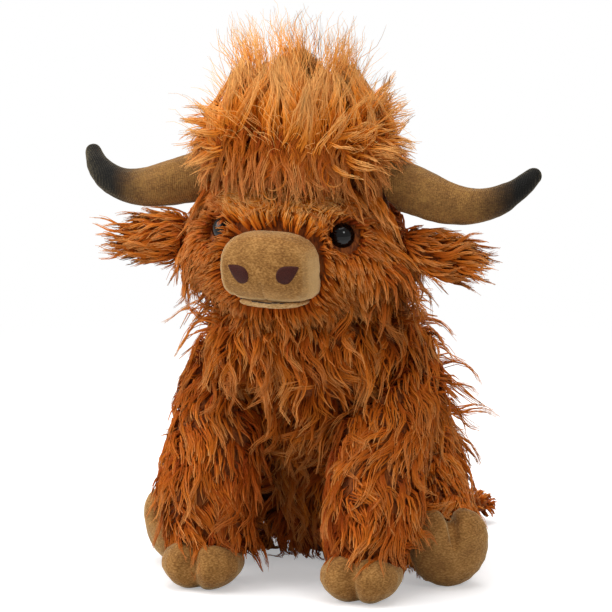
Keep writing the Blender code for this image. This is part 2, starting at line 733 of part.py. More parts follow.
def build_forelock(head_seam, horns):
    rings = []
    for up, lean, wide, deep in FORELOCK_RING_SHARES:
        y, z = FORELOCK_Y - FORELOCK_LEAN * lean, FORELOCK_BASE + FORELOCK_HEIGHT * up
        rings.append((0, y, z, FORELOCK_HALF_WIDTH * wide, FORELOCK_HALF_DEPTH * deep))
    bm = stuffed_form(rings, X_AXIS, FORELOCK_LOCKS * 4, (0, FORELOCK_BULGE), normal=Z_AXIS)
    for vert in bm.verts:
        x, y = vert.co.x, vert.co.y - FORELOCK_Y
        up = (vert.co.z - FORELOCK_BASE) / FORELOCK_HEIGHT
        around = math.atan2(y / FORELOCK_HALF_DEPTH, x / FORELOCK_HALF_WIDTH)
        gap = (1 - math.cos(FORELOCK_LOCKS * around)) / 2
        inwards = 1 - FORELOCK_LOCK_DEPTH_SHARE * gap * max(0, min(1, up))
        vert.co.x *= inwards
        vert.co.y = FORELOCK_Y + y * inwards
    tuft = add("forelock", bm, "fur", (0, FORELOCK_Y, FORELOCK_BASE), neck)
    cut(tuft, head_seam, *(room for _, room in horns))


def build_ear(side, word, head_outside, horn_room):
    point = Vector((side * EAR_PIVOT_X, EAR_Y, EAR_HEIGHT))
    hinge = pivot(f"ear_hinge_{word}", point, neck)
    rings = []
    for along, droop, high, thick in EAR_RING_SHARES:
        x, z = side * (EAR_ROOT_X + EAR_LENGTH * along), EAR_HEIGHT - EAR_DROOP * droop
        rings.append((x, EAR_Y, z, EAR_HALF_HEIGHT * high, EAR_HALF_THICKNESS * thick))
    form = stuffed_form(smooth(rings, 2), Z_AXIS, SMALL_SIDES, (0, EAR_TIP_BULGE), normal=X_AXIS * side)
    ear = add(f"ear_{word}", form, "fur", point, hinge)
    cut_for_swing(ear, head_outside, point, Z_AXIS, -EAR_SWING, EAR_SWING)
    cut(ear, horn_room)


def front_leg_form(side):
    tall = FRONT_LEG_TOP - FRONT_LEG_BOTTOM
    rings = [
        (
            side * (FRONT_LEG_X + FRONT_LEG_SPREAD * up),
            FRONT_LEG_FOOT_Y + FRONT_LEG_LEAN * lean,
            FRONT_LEG_BOTTOM + tall * up,
            FRONT_LEG_HALF_WIDTH * wide,
            FRONT_LEG_HALF_DEPTH * deep,
        )
        for up, lean, wide, deep in FRONT_LEG_RING_SHARES
    ]
    bulges = (FRONT_LEG_BOTTOM_BULGE, FRONT_LEG_TOP_BULGE)
    return stuffed_form(smooth(rings, 2), X_AXIS, LIMB_SIDES, bulges, normal=Z_AXIS)


def hoof_form(placement):
    """A cloven hoof: a ball, fuller at the toes, creased down the front, with its sole at the bottom."""
    bm = bmesh.new()
    bmesh.ops.create_uvsphere(bm, u_segments=HOOF_SEGMENTS, v_segments=HOOF_RINGS, radius=1)
    groove_share = CLEFT_HALF_WIDTH / HOOF_HALF_WIDTH
    for vert in bm.verts:
        front = max(0, -vert.co.y)
        toes = 1 + HOOF_TOE_SHARE * front * (1 - vert.co.z**2)
        groove = math.exp(-((vert.co.x / groove_share) ** 2)) * front
        vert.co = (
            vert.co.x * HOOF_HALF_WIDTH * toes,
            vert.co.y * HOOF_HALF_LENGTH + CLEFT_DEPTH * groove,
            vert.co.z * HOOF_HALF_HEIGHT * (1 + HOOF_TOE_SHARE * front * (1 - groove) / 2),
        )
    bmesh.ops.transform(bm, matrix=placement, verts=bm.verts)
    bmesh.ops.recalc_face_normals(bm, faces=bm.faces)
    return bm


def build_front_leg(side, word, body_outside, floor):
    point = Vector((side * FRONT_LEG_X, SHOULDER_PIVOT_Y, SHOULDER_PIVOT_HEIGHT))
    hinge = pivot(f"shoulder_{word}", point, root)
    leg = add(f"front_leg_{word}", front_leg_form(side), "fur", point, hinge)
    seam = room_round(leg, SEAM_GAP, f"front_leg_seam_{word}")
    # A forward swing turns about -X
    cut_for_swing(leg, body_outside, point, -X_AXIS, -FRONT_LEG_BACK_SWING, FRONT_LEG_FRONT_SWING)
    middle = Vector((side * FRONT_LEG_X, FRONT_HOOF_Y, HOOF_HALF_HEIGHT - FLOOR_CUT))
    hoof = add(f"front_hoof_{word}", hoof_form(Matrix.Translation(middle)), "velboa", middle, hinge)
    cut(hoof, seam, floor)


def build_hind_leg(side, word, body_outside, floor):
    hip = Vector((side * HIP_X, HIP_Y, HIND_LEG_HALF_HEIGHT - FLOOR_CUT))
    hinge = pivot(f"hip_{word}", hip, root)
    forwards = Vector((side * math.sin(HIND_LEG_YAW), -math.cos(HIND_LEG_YAW), 0))
    rings = []
    for along, wide, high in HIND_LEG_RING_SHARES:
        height = HIND_LEG_HALF_HEIGHT * high - FLOOR_CUT
        spot = Vector((hip.x, hip.y, height)) + forwards * HIND_LEG_LENGTH * along
        rings.append((*spot, HIND_LEG_HALF_HEIGHT * high, HIND_LEG_HALF_WIDTH * wide))
    bulges = (HIND_LEG_BACK_BULGE, HIND_LEG_FRONT_BULGE)
    form = stuffed_form(smooth(rings, 2), Z_AXIS, LIMB_SIDES, bulges, normal=forwards)
    leg = add(f"hind_leg_{word}", form, "fur", hip, hinge)
    seam = room_round(leg, SEAM_GAP, f"hind_leg_seam_{word}")
    cut_for_swing(leg, body_outside, hip, Z_AXIS * side, 0, HIND_LEG_OUT_SWING)
    cut(leg, floor)

    # The toes point up and the sole looks forwards
    middle = Vector((hip.x, hip.y, HOOF_HALF_LENGTH - FLOOR_CUT)) + forwards * HIND_LEG_LENGTH
    yaw = Matrix.Rotation(side * HIND_LEG_YAW, 4, "Z")
    tip_up = Matrix.Rotation(-(math.pi / 2 - HIND_HOOF_LEAN), 4, "X")
    placement = Matrix.Translation(middle) @ yaw @ tip_up
    hoof = add(f"hind_hoof_{word}", hoof_form(placement), "velboa", middle, hinge)
    cut(hoof, seam, floor)


def build_tail(body_outside, floor):
    """The tail leaves the rump, drops to the floor and turns aside, with the tuft at its end."""
    rump = SEAT_Y + BODY_HALF_DEPTH
    point = Vector((0, rump - TAIL_ROOT_SINK / 2, TAIL_ROOT_HEIGHT))
    hinge = pivot("tail_hinge", point, root)
    drop = TAIL_ROOT_HEIGHT - (TUFT_RADIUS - FLOOR_CUT)
    start = rump - TAIL_ROOT_SINK
    rings = []
    for along, aside, down, size in TAIL_RING_SHARES:
        spot = (TAIL_SIDE * aside, start + TAIL_REACH * along, TAIL_ROOT_HEIGHT - drop * down)
        rings.append((*spot, TAIL_RADIUS * size, TAIL_RADIUS * size))
    form = stuffed_form(smooth(rings, 2), X_AXIS, SMALL_SIDES, (0, TAIL_RADIUS))
    tail = add("tail", form, "fur", point, hinge)
    seam = room_round(tail, SEAM_GAP, "tail_seam")
    cut_for_swing(tail, body_outside, point, Z_AXIS, -TAIL_SWING, TAIL_SWING)
    rings = []
    for along, size in TUFT_RING_SHARES:
        spot = (TAIL_SIDE + TUFT_LENGTH * along, start + TAIL_REACH, TUFT_RADIUS - FLOOR_CUT)
        rings.append((*spot, TUFT_RADIUS * size, TUFT_RADIUS * size))
    form = stuffed_form(rings, Z_AXIS, SMALL_SIDES, (TAIL_RADIUS, TUFT_BULGE), normal=X_AXIS)
    tuft = add("tail_tuft", form, "fur", (TAIL_SIDE, start + TAIL_REACH, TUFT_RADIUS), hinge)
    cut(tuft, seam, floor)


def floor_block():
    """All that is below the floor."""
    bm = bmesh.new()
    bmesh.ops.create_cube(bm, size=1)
    bmesh.ops.scale(bm, vec=(OVERRUN * 10, OVERRUN * 10, OVERRUN), verts=bm.verts)
    bmesh.ops.translate(bm, vec=(0, SEAT_Y, -OVERRUN / 2), verts=bm.verts)
    return cutter("floor", bm, root)


def centre_the_cow():
    """Moves the root so that the origin is on the floor under the middle of the cow's box."""
    bpy.context.view_layer.update()
    graph = bpy.context.evaluated_depsgraph_get()
    corners = []
    for obj in bpy.context.scene.objects:
        if obj.type == "MESH" and not obj.hide_render:
            seen = obj.evaluated_get(graph)
            corners += [seen.matrix_world @ Vector(c) for c in seen.bound_box]
    for axis in (0, 1):
        values = [c[axis] for c in corners]
        root.location[axis] -= (min(values) + max(values)) / 2
    bpy.context.view_layer.update()


SIDES = ((1, "left"), (-1, "right"))

clear_scene()
root = pivot("cow", (0, 0, 0))
neck = pivot("neck", (0, SEAT_Y - BODY_LEAN, SHOULDER_HEIGHT), root)
floor = floor_block()
body_outside = build_body()
head, head_filling, head_outside = build_head()
for side, word in SIDES:
    build_eye(side, word, head, head_filling)
head_seam = build_muzzle(head_outside)
horns = build_horns(head_seam)
build_forelock(head_seam, horns)
for (side, word), (_, horn_room) in zip(SIDES, horns):
    build_ear(side, word, head_outside, horn_room)
    build_front_leg(side, word, body_outside, floor)
    build_hind_leg(side, word, body_outside, floor)
build_tail(body_outside, floor)
centre_the_cow()
for name in ("neck", "ear_hinge_left", "shoulder_left", "hip_left", "tail_hinge"):
    point = bpy.data.objects[name].matrix_world.translation
    print(name, "pivot", [round(v, 5) for v in point])
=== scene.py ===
# %% [markdown]
# A seated long-haired plush cow. Its body, head and legs are cut from long-pile faux fur and stuffed,
# its muzzle and hooves are short velboa, its horns are airbrushed velboa and its eyes are safety eyes.
# The imported CAD model is the fixed frame: every piece made here lies where its solid lies, and most ride on
# the same body as their solid.

import math

import bmesh
import bpy
import numpy as np
from mathutils import Matrix, Vector
from mathutils.bvhtree import BVHTree


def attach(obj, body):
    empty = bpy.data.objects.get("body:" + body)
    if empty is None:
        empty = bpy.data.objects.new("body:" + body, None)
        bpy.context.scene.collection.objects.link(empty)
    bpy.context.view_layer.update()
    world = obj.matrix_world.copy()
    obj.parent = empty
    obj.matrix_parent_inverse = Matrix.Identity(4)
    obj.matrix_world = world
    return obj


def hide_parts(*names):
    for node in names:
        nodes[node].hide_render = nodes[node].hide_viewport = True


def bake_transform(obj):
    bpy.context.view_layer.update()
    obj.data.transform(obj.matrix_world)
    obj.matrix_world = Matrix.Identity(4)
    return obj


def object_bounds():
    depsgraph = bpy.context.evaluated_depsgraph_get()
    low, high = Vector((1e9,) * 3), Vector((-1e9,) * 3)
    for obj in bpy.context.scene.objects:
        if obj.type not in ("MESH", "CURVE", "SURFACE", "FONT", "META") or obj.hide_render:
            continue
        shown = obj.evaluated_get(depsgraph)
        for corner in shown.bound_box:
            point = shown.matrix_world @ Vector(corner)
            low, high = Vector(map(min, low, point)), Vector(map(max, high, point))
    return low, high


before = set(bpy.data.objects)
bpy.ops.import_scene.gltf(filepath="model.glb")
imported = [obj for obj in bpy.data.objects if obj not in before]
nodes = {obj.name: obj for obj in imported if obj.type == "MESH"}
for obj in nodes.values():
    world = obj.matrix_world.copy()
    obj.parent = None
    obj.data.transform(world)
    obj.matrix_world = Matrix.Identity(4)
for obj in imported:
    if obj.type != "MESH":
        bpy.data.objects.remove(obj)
cad_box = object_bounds()
scene = bpy.context.scene
MM = 0.001
UP = np.array((0.0, 0.0, 1.0))
SIDES = ((1, "left"), (-1, "right"))
FEET_Y = -0.06892  # the line of the front feet, from the middle of the box

# %% [markdown]
# The photograph was taken with a long lens from the cow's front left, a little above its eyes. A long
# lens at a distance keeps the proportions that a short one would stretch. The camera looks along one
# line through the middle of the toy, so three numbers place it: azimuth, elevation and distance.

# %% Camera
AZIMUTH = math.radians(20)
ELEVATION = math.radians(10.5)
DISTANCE = 2.2
FRAME_WIDTH = 0.2754  # metres across the picture, at the target
TARGET = Vector((0.0013, -0.0435, 0.1264))

camera_data = bpy.data.cameras.new("camera")
camera_data.sensor_width = 36
camera_data.lens = camera_data.sensor_width * DISTANCE / FRAME_WIDTH
camera_data.clip_end = 50
camera = bpy.data.objects.new("camera", camera_data)
scene.collection.objects.link(camera)
away = Vector(
    (math.sin(AZIMUTH) * math.cos(ELEVATION), -math.cos(AZIMUTH) * math.cos(ELEVATION), math.sin(ELEVATION))
)
camera.location = TARGET + away * DISTANCE
camera.rotation_euler = away.to_track_quat("Z", "Y").to_euler()
scene.camera = camera
print("camera: lens", round(camera_data.lens), "mm at", DISTANCE, "m")

# %% [markdown]
# Materials come next. Each is built from a few nodes, so one small function adds a node, sets what it
# is given and links the rest. Colours are written as the hex values that a colour picker shows, and one
# function turns them into the linear values that Blender counts in.

# %% Colour and node helpers
def linear(hex_value):
    """The linear colour of an sRGB hex value such as "B0652D"."""
    parts = [int(hex_value[i : i + 2], 16) / 255 for i in (0, 2, 4)]
    return [c / 12.92 if c <= 0.04045 else ((c + 0.055) / 1.055) ** 2.4 for c in parts] + [1.0]


def add_node(tree, kind, settings=None, inputs=None, ramp=None):
    """Adds a node. A value in inputs that is an output socket is linked, and any other is set."""
    node = tree.nodes.new(kind)
    for name, value in (settings or {}).items():
        setattr(node, name, value)
    for name, value in (inputs or {}).items():
        if isinstance(value, bpy.types.NodeSocket):
            tree.links.new(value, node.inputs[name])
        else:
            node.inputs[name].default_value = value
    if ramp:
        stops = node.color_ramp.elements
        while len(stops) < len(ramp):
            stops.new(0.5)
        for stop, (position, colour) in zip(stops, ramp):
            stop.position = position
            stop.color = linear(colour)
    return node


def new_material(name, **shader):
    """A material with a Principled shader whose own sockets hold the plain values."""
    material = bpy.data.materials.new(name)
    material.use_nodes = True
    tree = material.node_tree
    tree.nodes.clear()
    output = tree.nodes.new("ShaderNodeOutputMaterial")
    principled = add_node(tree, "ShaderNodeBsdfPrincipled", inputs=shader)
    tree.links.new(principled.outputs[0], output.inputs[0])
    return material, tree, principled


def dress(obj, material):
    """Gives all of an object's faces one material."""
    obj.data.materials.clear()
    obj.data.materials.append(material)


# %% [markdown]
# The toy stands on a plain pale floor in soft studio light. The floor is white to the camera, and only
# to the camera, so that it doesn't throw more light on the toy than a pale table would. It keeps the
# toy's shadow. The lamps are large, because a large lamp gives the soft shading of a light tent.

# %% Floor, lamps and world
FLOOR_HALF = 9.0
bm = bmesh.new()
bmesh.ops.create_grid(bm, x_segments=1, y_segments=1, size=FLOOR_HALF)
floor_mesh = bpy.data.meshes.new("floor")
bm.to_mesh(floor_mesh)
bm.free()
floor = bpy.data.objects.new("floor", floor_mesh)
scene.collection.objects.link(floor)

floor_material = bpy.data.materials.new("white_paper")
floor_material.use_nodes = True
tree = floor_material.node_tree
tree.nodes.clear()
rays = add_node(tree, "ShaderNodeLightPath")
pale = add_node(tree, "ShaderNodeBsdfDiffuse", inputs={"Color": (0.62, 0.62, 0.62, 1)})
paper = add_node(tree, "ShaderNodeBsdfDiffuse", inputs={"Color": (0.80, 0.80, 0.80, 1)})
glow = add_node(tree, "ShaderNodeEmission", inputs={"Color": (1, 1, 1, 1), "Strength": 0.36})
white = add_node(tree, "ShaderNodeAddShader")
tree.links.new(paper.outputs[0], white.inputs[0])
tree.links.new(glow.outputs[0], white.inputs[1])
seen = add_node(tree, "ShaderNodeMath", {"operation": "MAXIMUM"})
tree.links.new(rays.outputs["Is Camera Ray"], seen.inputs[0])
tree.links.new(rays.outputs["Is Glossy Ray"], seen.inputs[1])
mixed = add_node(tree, "ShaderNodeMixShader", inputs={"Fac": seen.outputs[0]})
tree.links.new(pale.outputs[0], mixed.inputs[1])
where = add_node(tree, "ShaderNodeTexCoord").outputs["Object"]
far = add_node(tree, "ShaderNodeVectorMath", {"operation": "LENGTH"}, {0: where})
fade = add_node(
    tree,
    "ShaderNodeMapRange",
    {"interpolation_type": "SMOOTHSTEP"},
    {"Value": far.outputs["Value"], "From Min": 0.22, "From Max": 0.6},
)
beyond = add_node(tree, "ShaderNodeEmission", inputs={"Color": (1, 1, 1, 1), "Strength": 1.0})
faded = add_node(
    tree, "ShaderNodeMixShader", inputs={0: fade.outputs[0], 1: white.outputs[0], 2: beyond.outputs[0]}
)
tree.links.new(faded.outputs[0], mixed.inputs[2])
output = tree.nodes.new("ShaderNodeOutputMaterial")
tree.links.new(mixed.outputs[0], output.inputs[0])
dress(floor, floor_material)

world = bpy.data.worlds.new("studio")
scene.world = world
world.use_nodes = True
tree = world.node_tree
tree.nodes.clear()
rays = add_node(tree, "ShaderNodeLightPath")
seen = add_node(tree, "ShaderNodeMath", {"operation": "MAXIMUM"})
tree.links.new(rays.outputs["Is Camera Ray"], seen.inputs[0])
tree.links.new(rays.outputs["Is Transmission Ray"], seen.inputs[1])
soft = add_node(tree, "ShaderNodeBackground", inputs={"Color": (1, 1, 1, 1), "Strength": 0.50})
shown = add_node(tree, "ShaderNodeBackground", inputs={"Color": (1, 1, 1, 1), "Strength": 1.0})
mixed = add_node(tree, "ShaderNodeMixShader", inputs={"Fac": seen.outputs[0]})
tree.links.new(soft.outputs[0], mixed.inputs[1])
tree.links.new(shown.outputs[0], mixed.inputs[2])
output = tree.nodes.new("ShaderNodeOutputWorld")
tree.links.new(mixed.outputs[0], output.inputs[0])

LAMPS = (
    ("key_lamp", (-1.55, -0.85, 1.15), 1.7, 27.0),
    ("fill_lamp", (1.20, -1.00, 1.15), 0.42, 4.0),
    ("top_lamp", (-0.05, -0.05, 1.50), 1.4, 16.0),
    ("rim_lamp", (-0.60, 1.30, 0.90), 0.8, 5.0),
)
for name, place, size, watts in LAMPS:
    lamp_data = bpy.data.lights.new(name, "AREA")
    lamp_data.shape = "DISK"
    lamp_data.size = size
    lamp_data.energy = watts
    lamp = bpy.data.objects.new(name, lamp_data)
    scene.collection.objects.link(lamp)
    lamp.location = place
    lamp.rotation_euler = (Vector(place) - Vector((0, 0, 0.11))).to_track_quat("Z", "Y").to_euler()
scene.view_settings.view_transform = "Standard"
print("light:", len(LAMPS), "lamps and a pale world")

# %% [markdown]
# The long pile is acrylic faux fur. Along one fibre the colour runs from dark at the backing, which is
# painted shade deep in the pile, through rust-orange to golden at the tip, which is painted light shining
# through the thin tip, and no two locks have quite the same shade. Both facts are kept in one UV map: across
# it runs the shade of the lock, and up it runs the way from root to tip. The colour reads nothing else, so a
# copy of the same map is kept as the bake map.

# %% Faux fur
STRAND_MAP = "strand"
BAKE_MAP = "OFBake"


def fur_material():
    # Acrylic long-pile faux fur: satin fibres, so a soft sheen and a broad highlight along each lock.
    material, tree, shader = new_material(
        "acrylic_faux_fur",
        **{
            "Roughness": 0.52,
            "IOR": 1.5,
            "Specular IOR Level": 0.10,
            "Sheen Weight": 0.06,
            "Sheen Roughness": 0.4,
        },
    )
    shader.inputs["Sheen Tint"].default_value = linear("F08C38")
    strand = add_node(tree, "ShaderNodeUVMap", {"uv_map": STRAND_MAP})
    part = add_node(tree, "ShaderNodeSeparateXYZ", inputs={0: strand.outputs[0]})
    # Up each fibre the colour is painted: painted shade at the root, deep in the pile, and painted light at
    # the thin tip. Across the map, deep and bright are the locks' own darker and paler tones.
    deep = ((0.0, "6A2204"), (0.30, "862F04"), (0.65, "A03F06"), (1.0, "B45210"))
    bright = ((0.0, "BE580A"), (0.28, "DC7214"), (0.62, "F2922C"), (1.0, "FCC074"))
    dark = add_node(tree, "ShaderNodeValToRGB", inputs={"Fac": part.outputs["Y"]}, ramp=deep)
    light = add_node(tree, "ShaderNodeValToRGB", inputs={"Fac": part.outputs["Y"]}, ramp=bright)
    mixed = add_node(
        tree,
        "ShaderNodeMix",
        {"data_type": "RGBA"},
        {0: part.outputs["X"], 6: dark.outputs[0], 7: light.outputs[0]},
    )
    tree.links.new(mixed.outputs[2], shader.inputs["Base Color"])
    return material


faux_fur = fur_material()
print("material:", faux_fur.name)

# %% [markdown]
# Velboa is a knitted polyester plush with a pile of about one millimetre. It looks matt and soft, its
# lie shows as patches a little lighter or darker, and single tufts show as a fine grain. The horns are
# cut from a thinner velboa, whose knit shows as fine rows, and their tips are airbrushed.

# %% Velboa
TUFT = 1.1 * MM  # a group of velboa tufts that the eye can tell apart
TUFT_ROW = 0.6 * MM  # from one knitted row of tufts to the next
PATCH = 7 * MM  # a patch where the pile lies one way
PAINTED_LIGHT = "painted_light"  # an attribute of a piece: painted light, where its pile is made paler to stand for sheen and for light from above


def velboa_material(name, hexes, row=None, sheen=1.0):
    # Polyester velboa, knitted and brushed: rough, with a soft sheen at its edges and a grain of tufts.
    material, tree, shader = new_material(
        name, **{"Roughness": 0.85, "Specular IOR Level": 0.2, "Sheen Weight": sheen, "Sheen Roughness": 0.3}
    )
    shader.inputs["Sheen Tint"].default_value = linear("E8D2A4")
    where = add_node(tree, "ShaderNodeTexCoord").outputs["Object"]
    rows = add_node(
        tree, "ShaderNodeMapping", inputs={"Vector": where, "Scale": (1 / TUFT, 1 / TUFT, 1 / TUFT_ROW)}
    )
    grain = add_node(
        tree,
        "ShaderNodeTexNoise",
        inputs={"Vector": rows.outputs[0], "Scale": 1.0, "Detail": 2.0, "Roughness": 0.6},
    )
    patch = add_node(tree, "ShaderNodeTexNoise", inputs={"Vector": where, "Scale": 1 / PATCH, "Detail": 2.0})
    both = add_node(
        tree, "ShaderNodeMath", {"operation": "MULTIPLY_ADD"}, {0: patch.outputs[0], 1: 0.28, 2: 0.06}
    )
    total = add_node(
        tree,
        "ShaderNodeMath",
        {"operation": "MULTIPLY_ADD"},
        {0: grain.outputs[0], 1: 0.62, 2: both.outputs[0]},
    )
    shade = add_node(
        tree,
        "ShaderNodeValToRGB",
        inputs={"Fac": total.outputs[0]},
        ramp=tuple(zip((0.38, 0.51, 0.64), hexes)),
    )
    # Where the attribute is set, the colour is mixed towards a pale tan: painted sheen on edges and painted
    # light on upper sides.
    painted_light = add_node(tree, "ShaderNodeAttribute", {"attribute_name": PAINTED_LIGHT})
    lightened = add_node(
        tree,
        "ShaderNodeMix",
        {"data_type": "RGBA"},
        {0: painted_light.outputs["Fac"], 6: shade.outputs[0], 7: linear("DDB67C")},
    )
    tree.links.new(lightened.outputs[2], shader.inputs["Base Color"])
    height = grain.outputs[0]
    if row:
        knit = add_node(
            tree,
            "ShaderNodeTexWave",
            {"bands_direction": "X"},
            {"Vector": where, "Scale": 0.31 / row, "Distortion": 2.0, "Detail": 1.0},
        )
        parts = {0: knit.outputs["Fac"], 1: 0.5, 2: grain.outputs[0]}
        height = add_node(tree, "ShaderNodeMath", {"operation": "MULTIPLY_ADD"}, parts).outputs[0]
    bump = add_node(tree, "ShaderNodeBump", inputs={"Height": height, "Strength": 0.75, "Distance": 0.5 * MM})
    tree.links.new(bump.outputs[0], shader.inputs["Normal"])
    return material, tree, shader, shade


velboa = velboa_material("tan_velboa", ("74491F", "946732", "B5844A"))[0]
lip_velboa = velboa_material("pale_velboa", ("A07646", "C49A64", "D8B280"))[0]
horn_velboa, tree, shader, cloth = velboa_material(
    "airbrushed_horn_velboa", ("6A4722", "865E30", "9C733A"), row=0.9 * MM, sheen=0.5
)
# Distance from the middle where the airbrush starts and where it covers
HORN_DARK_FROM, HORN_DARK_TO = 0.0753, 0.0993
where = add_node(tree, "ShaderNodeTexCoord").outputs["Object"]
part = add_node(tree, "ShaderNodeSeparateXYZ", inputs={0: where})
uneven = add_node(tree, "ShaderNodeMath", {"operation": "SUBTRACT"}, {0: part.outputs["X"], 1: 0.0057})
out_by = add_node(tree, "ShaderNodeMath", {"operation": "ABSOLUTE"}, {0: uneven.outputs[0]})
cloud = add_node(tree, "ShaderNodeTexNoise", inputs={"Vector": where, "Scale": 1 / (5 * MM), "Detail": 3.0})
edge = add_node(
    tree,
    "ShaderNodeMath",
    {"operation": "MULTIPLY_ADD"},
    {0: cloud.outputs[0], 1: 0.006, 2: out_by.outputs[0]},
)
paint = add_node(
    tree,
    "ShaderNodeMapRange",
    {"interpolation_type": "SMOOTHSTEP"},
    {"Value": edge.outputs[0], "From Min": HORN_DARK_FROM, "From Max": HORN_DARK_TO},
)
mixed = add_node(
    tree,
    "ShaderNodeMix",
    {"data_type": "RGBA"},
    {0: paint.outputs[0], 6: cloth.outputs[0], 7: linear("12110F")},
)
tree.links.new(mixed.outputs[2], shader.inputs["Base Color"])
print("materials:", velboa.name, lip_velboa.name, horn_velboa.name)

# %% [markdown]
# The small parts are satin embroidery thread, polished plastic for the eyes, dull plastic for their
# washers, polyester fibre for the filling, and woven cotton for the bead pouch and the base panel.

# %% Thread, plastics, filling and cotton
def grained_material(name, hexes, size, depth, kind="ShaderNodeTexNoise", **shader_values):
    material, tree, shader = new_material(name, **shader_values)
    where = add_node(tree, "ShaderNodeTexCoord").outputs["Object"]
    grain = add_node(tree, kind, inputs={"Vector": where, "Scale": 1 / size})
    shade = add_node(
        tree, "ShaderNodeValToRGB", inputs={"Fac": grain.outputs[0]}, ramp=tuple(zip((0.3, 0.7), hexes))
    )
    bump = add_node(
        tree, "ShaderNodeBump", inputs={"Height": grain.outputs[0], "Strength": 0.4, "Distance": depth}
    )
    tree.links.new(shade.outputs[0], shader.inputs["Base Color"])
    tree.links.new(bump.outputs[0], shader.inputs["Normal"])
    return material


# Trilobal polyester embroidery thread: satin, twisted, so its fibres glint along the stitch.
thread = grained_material(
    "embroidery_thread",
    ("300F09", "4E2015"),
    0.4 * MM,
    0.1 * MM,
    Roughness=0.5,
    **{"Specular IOR Level": 0.2},
)
# Dark sewing thread of the mouth: a matt spun polyester.
seam_thread = grained_material("spun_sewing_thread", ("1E120C", "3A2618"), 0.4 * MM, 0.1 * MM, Roughness=0.75)
# Injection-moulded and tumbled black acrylic of a safety eye: a hard polish over solid black.
eye_plastic = grained_material(
    "polished_black_plastic",
    ("050404", "0A0706"),
    2 * MM,
    0.001 * MM,
    Roughness=0.05,
    IOR=1.5,
    **{"Specular IOR Level": 0.3},
)
# Natural polyethylene of the eye's washer: waxy and translucent white.
washer_plastic = grained_material(
    "natural_polyethylene", ("D8D6CE", "E8E6E0"), 3 * MM, 0.02 * MM, Roughness=0.5, IOR=1.51
)
# Siliconised hollow polyester fibre: white, matt, clumped.
filling_fibre = grained_material(
    "polyester_fibre_filling", ("DCDAD4", "F2F1EC"), 4 * MM, 1 * MM, Roughness=0.9
)
# Plain-woven brown cotton: matt, with a thread of about half a millimetre.
cotton = grained_material(
    "woven_brown_cotton", ("7A4A2A", "A0683C"), 0.5 * MM, 0.15 * MM, "ShaderNodeTexVoronoi", Roughness=0.9
)
# The knitted backing of the fur fabric with its short ground hair: dark, because no light reaches it.
backing_knit = grained_material("fur_backing_knit", ("5A2606", "A8581A"), 1.1 * MM, 1.2 * MM, Roughness=0.95)
tree = backing_knit.node_tree
streaks = add_node(
    tree,
    "ShaderNodeMapping",
    inputs={"Vector": tree.nodes["Texture Coordinate"].outputs["Object"], "Scale": (1, 1, 0.16)},
)
tree.links.new(streaks.outputs[0], tree.nodes["Noise Texture"].inputs["Vector"])
for name, material in (
    ("body_filling", filling_fibre),
    ("head_filling", filling_fibre),
    ("bead_pouch", cotton),
    ("eye_washer_left", washer_plastic),
    ("eye_washer_right", washer_plastic),
):
    dress(nodes[name], material)
print("materials:", len(bpy.data.materials), "in all")

# %% [markdown]
# A stuffed piece starts from a copy of its solid. The copy is merged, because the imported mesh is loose
# triangles, remeshed to an even fine grid, smoothed, and moved in or out. The modifiers are applied at
# once, so that what is drawn, exported and posed is one and the same mesh.

# %% Helpers for stuffed pieces
def new_object(name, mesh):
    obj = bpy.data.objects.new(name, mesh)
    scene.collection.objects.link(obj)
    return obj


def merged_copy(name, *sources):
    """A new object with the merged meshes of these CAD nodes."""
    bm = bmesh.new()
    for source in sources:
        bm.from_mesh(nodes[source].data)
    bmesh.ops.remove_doubles(bm, verts=bm.verts, dist=0.001 * MM)
    mesh = bpy.data.meshes.new(name)
    bm.to_mesh(mesh)
    bm.free()
    return new_object(name, mesh)


def shape(obj, *steps):
    """Runs modifiers on an object and keeps the result as its mesh."""
    for kind, settings in steps:
        modifier = obj.modifiers.new(kind.lower(), kind)
        for name, value in settings.items():
            setattr(modifier, name, value)
    bpy.context.view_layer.update()
    graph = bpy.context.evaluated_depsgraph_get()
    mesh = bpy.data.meshes.new_from_object(obj.evaluated_get(graph))
    obj.modifiers.clear()
    old, obj.data = obj.data, mesh
    mesh.name = obj.name
    bpy.data.meshes.remove(old)
    for face in obj.data.polygons:
        face.use_smooth = True
    return obj


def points_of(obj):
    co = np.empty(len(obj.data.vertices) * 3)
    obj.data.vertices.foreach_get("co", co)
    return co.reshape(-1, 3)


def move_points(obj, co):
    obj.data.vertices.foreach_set("co", np.asarray(co, np.float32).ravel())
    obj.data.update()


def normals_of(obj):
    out = np.empty(len(obj.data.vertices) * 3)
    obj.data.vertices.foreach_get("normal", out)
    return out.reshape(-1, 3)


def stuffed(name, sources, material, voxel, out_by=0.0, rounds=4, stands_for=None):
    """A padded piece made from CAD nodes: remeshed, moved outwards by out_by and smoothed."""
    obj = merged_copy(name, *sources)
    steps = [("REMESH", {"mode": "VOXEL", "voxel_size": voxel})]
    if out_by:
        steps.append(("SMOOTH", {"factor": 0.5, "iterations": 2}))
        steps.append(("DISPLACE", {"mid_level": 0.0, "strength": out_by}))
    steps.append(("SMOOTH", {"factor": 0.5, "iterations": rounds}))
    shape(obj, *steps)
    dress(obj, material)
    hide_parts(*(stands_for or sources))
    return obj


# %% [markdown]
# Under the long pile is the sewn and stuffed fabric. It is made first, a few millimetres inside the
# solids, which stand for the outside of the pile. It is dark and only shows in the gaps between locks.

# %% Stuffed fabric under the pile
BACKING_OUT = 6.0 * MM  # from the filling out to the fabric
SEAT_CLEAR = 2.6 * MM  # the fabric's lowest point, above the base panel


def backing(piece, sources, out_by, body, voxel=3.6 * MM, stands_for=None):
    obj = stuffed(piece, sources, backing_knit, voxel, out_by, 6, stands_for)
    co = points_of(obj)
    co[:, 2] = np.maximum(co[:, 2], SEAT_CLEAR if body == "torso" else 0.8 * MM)
    move_points(obj, co)
    return obj


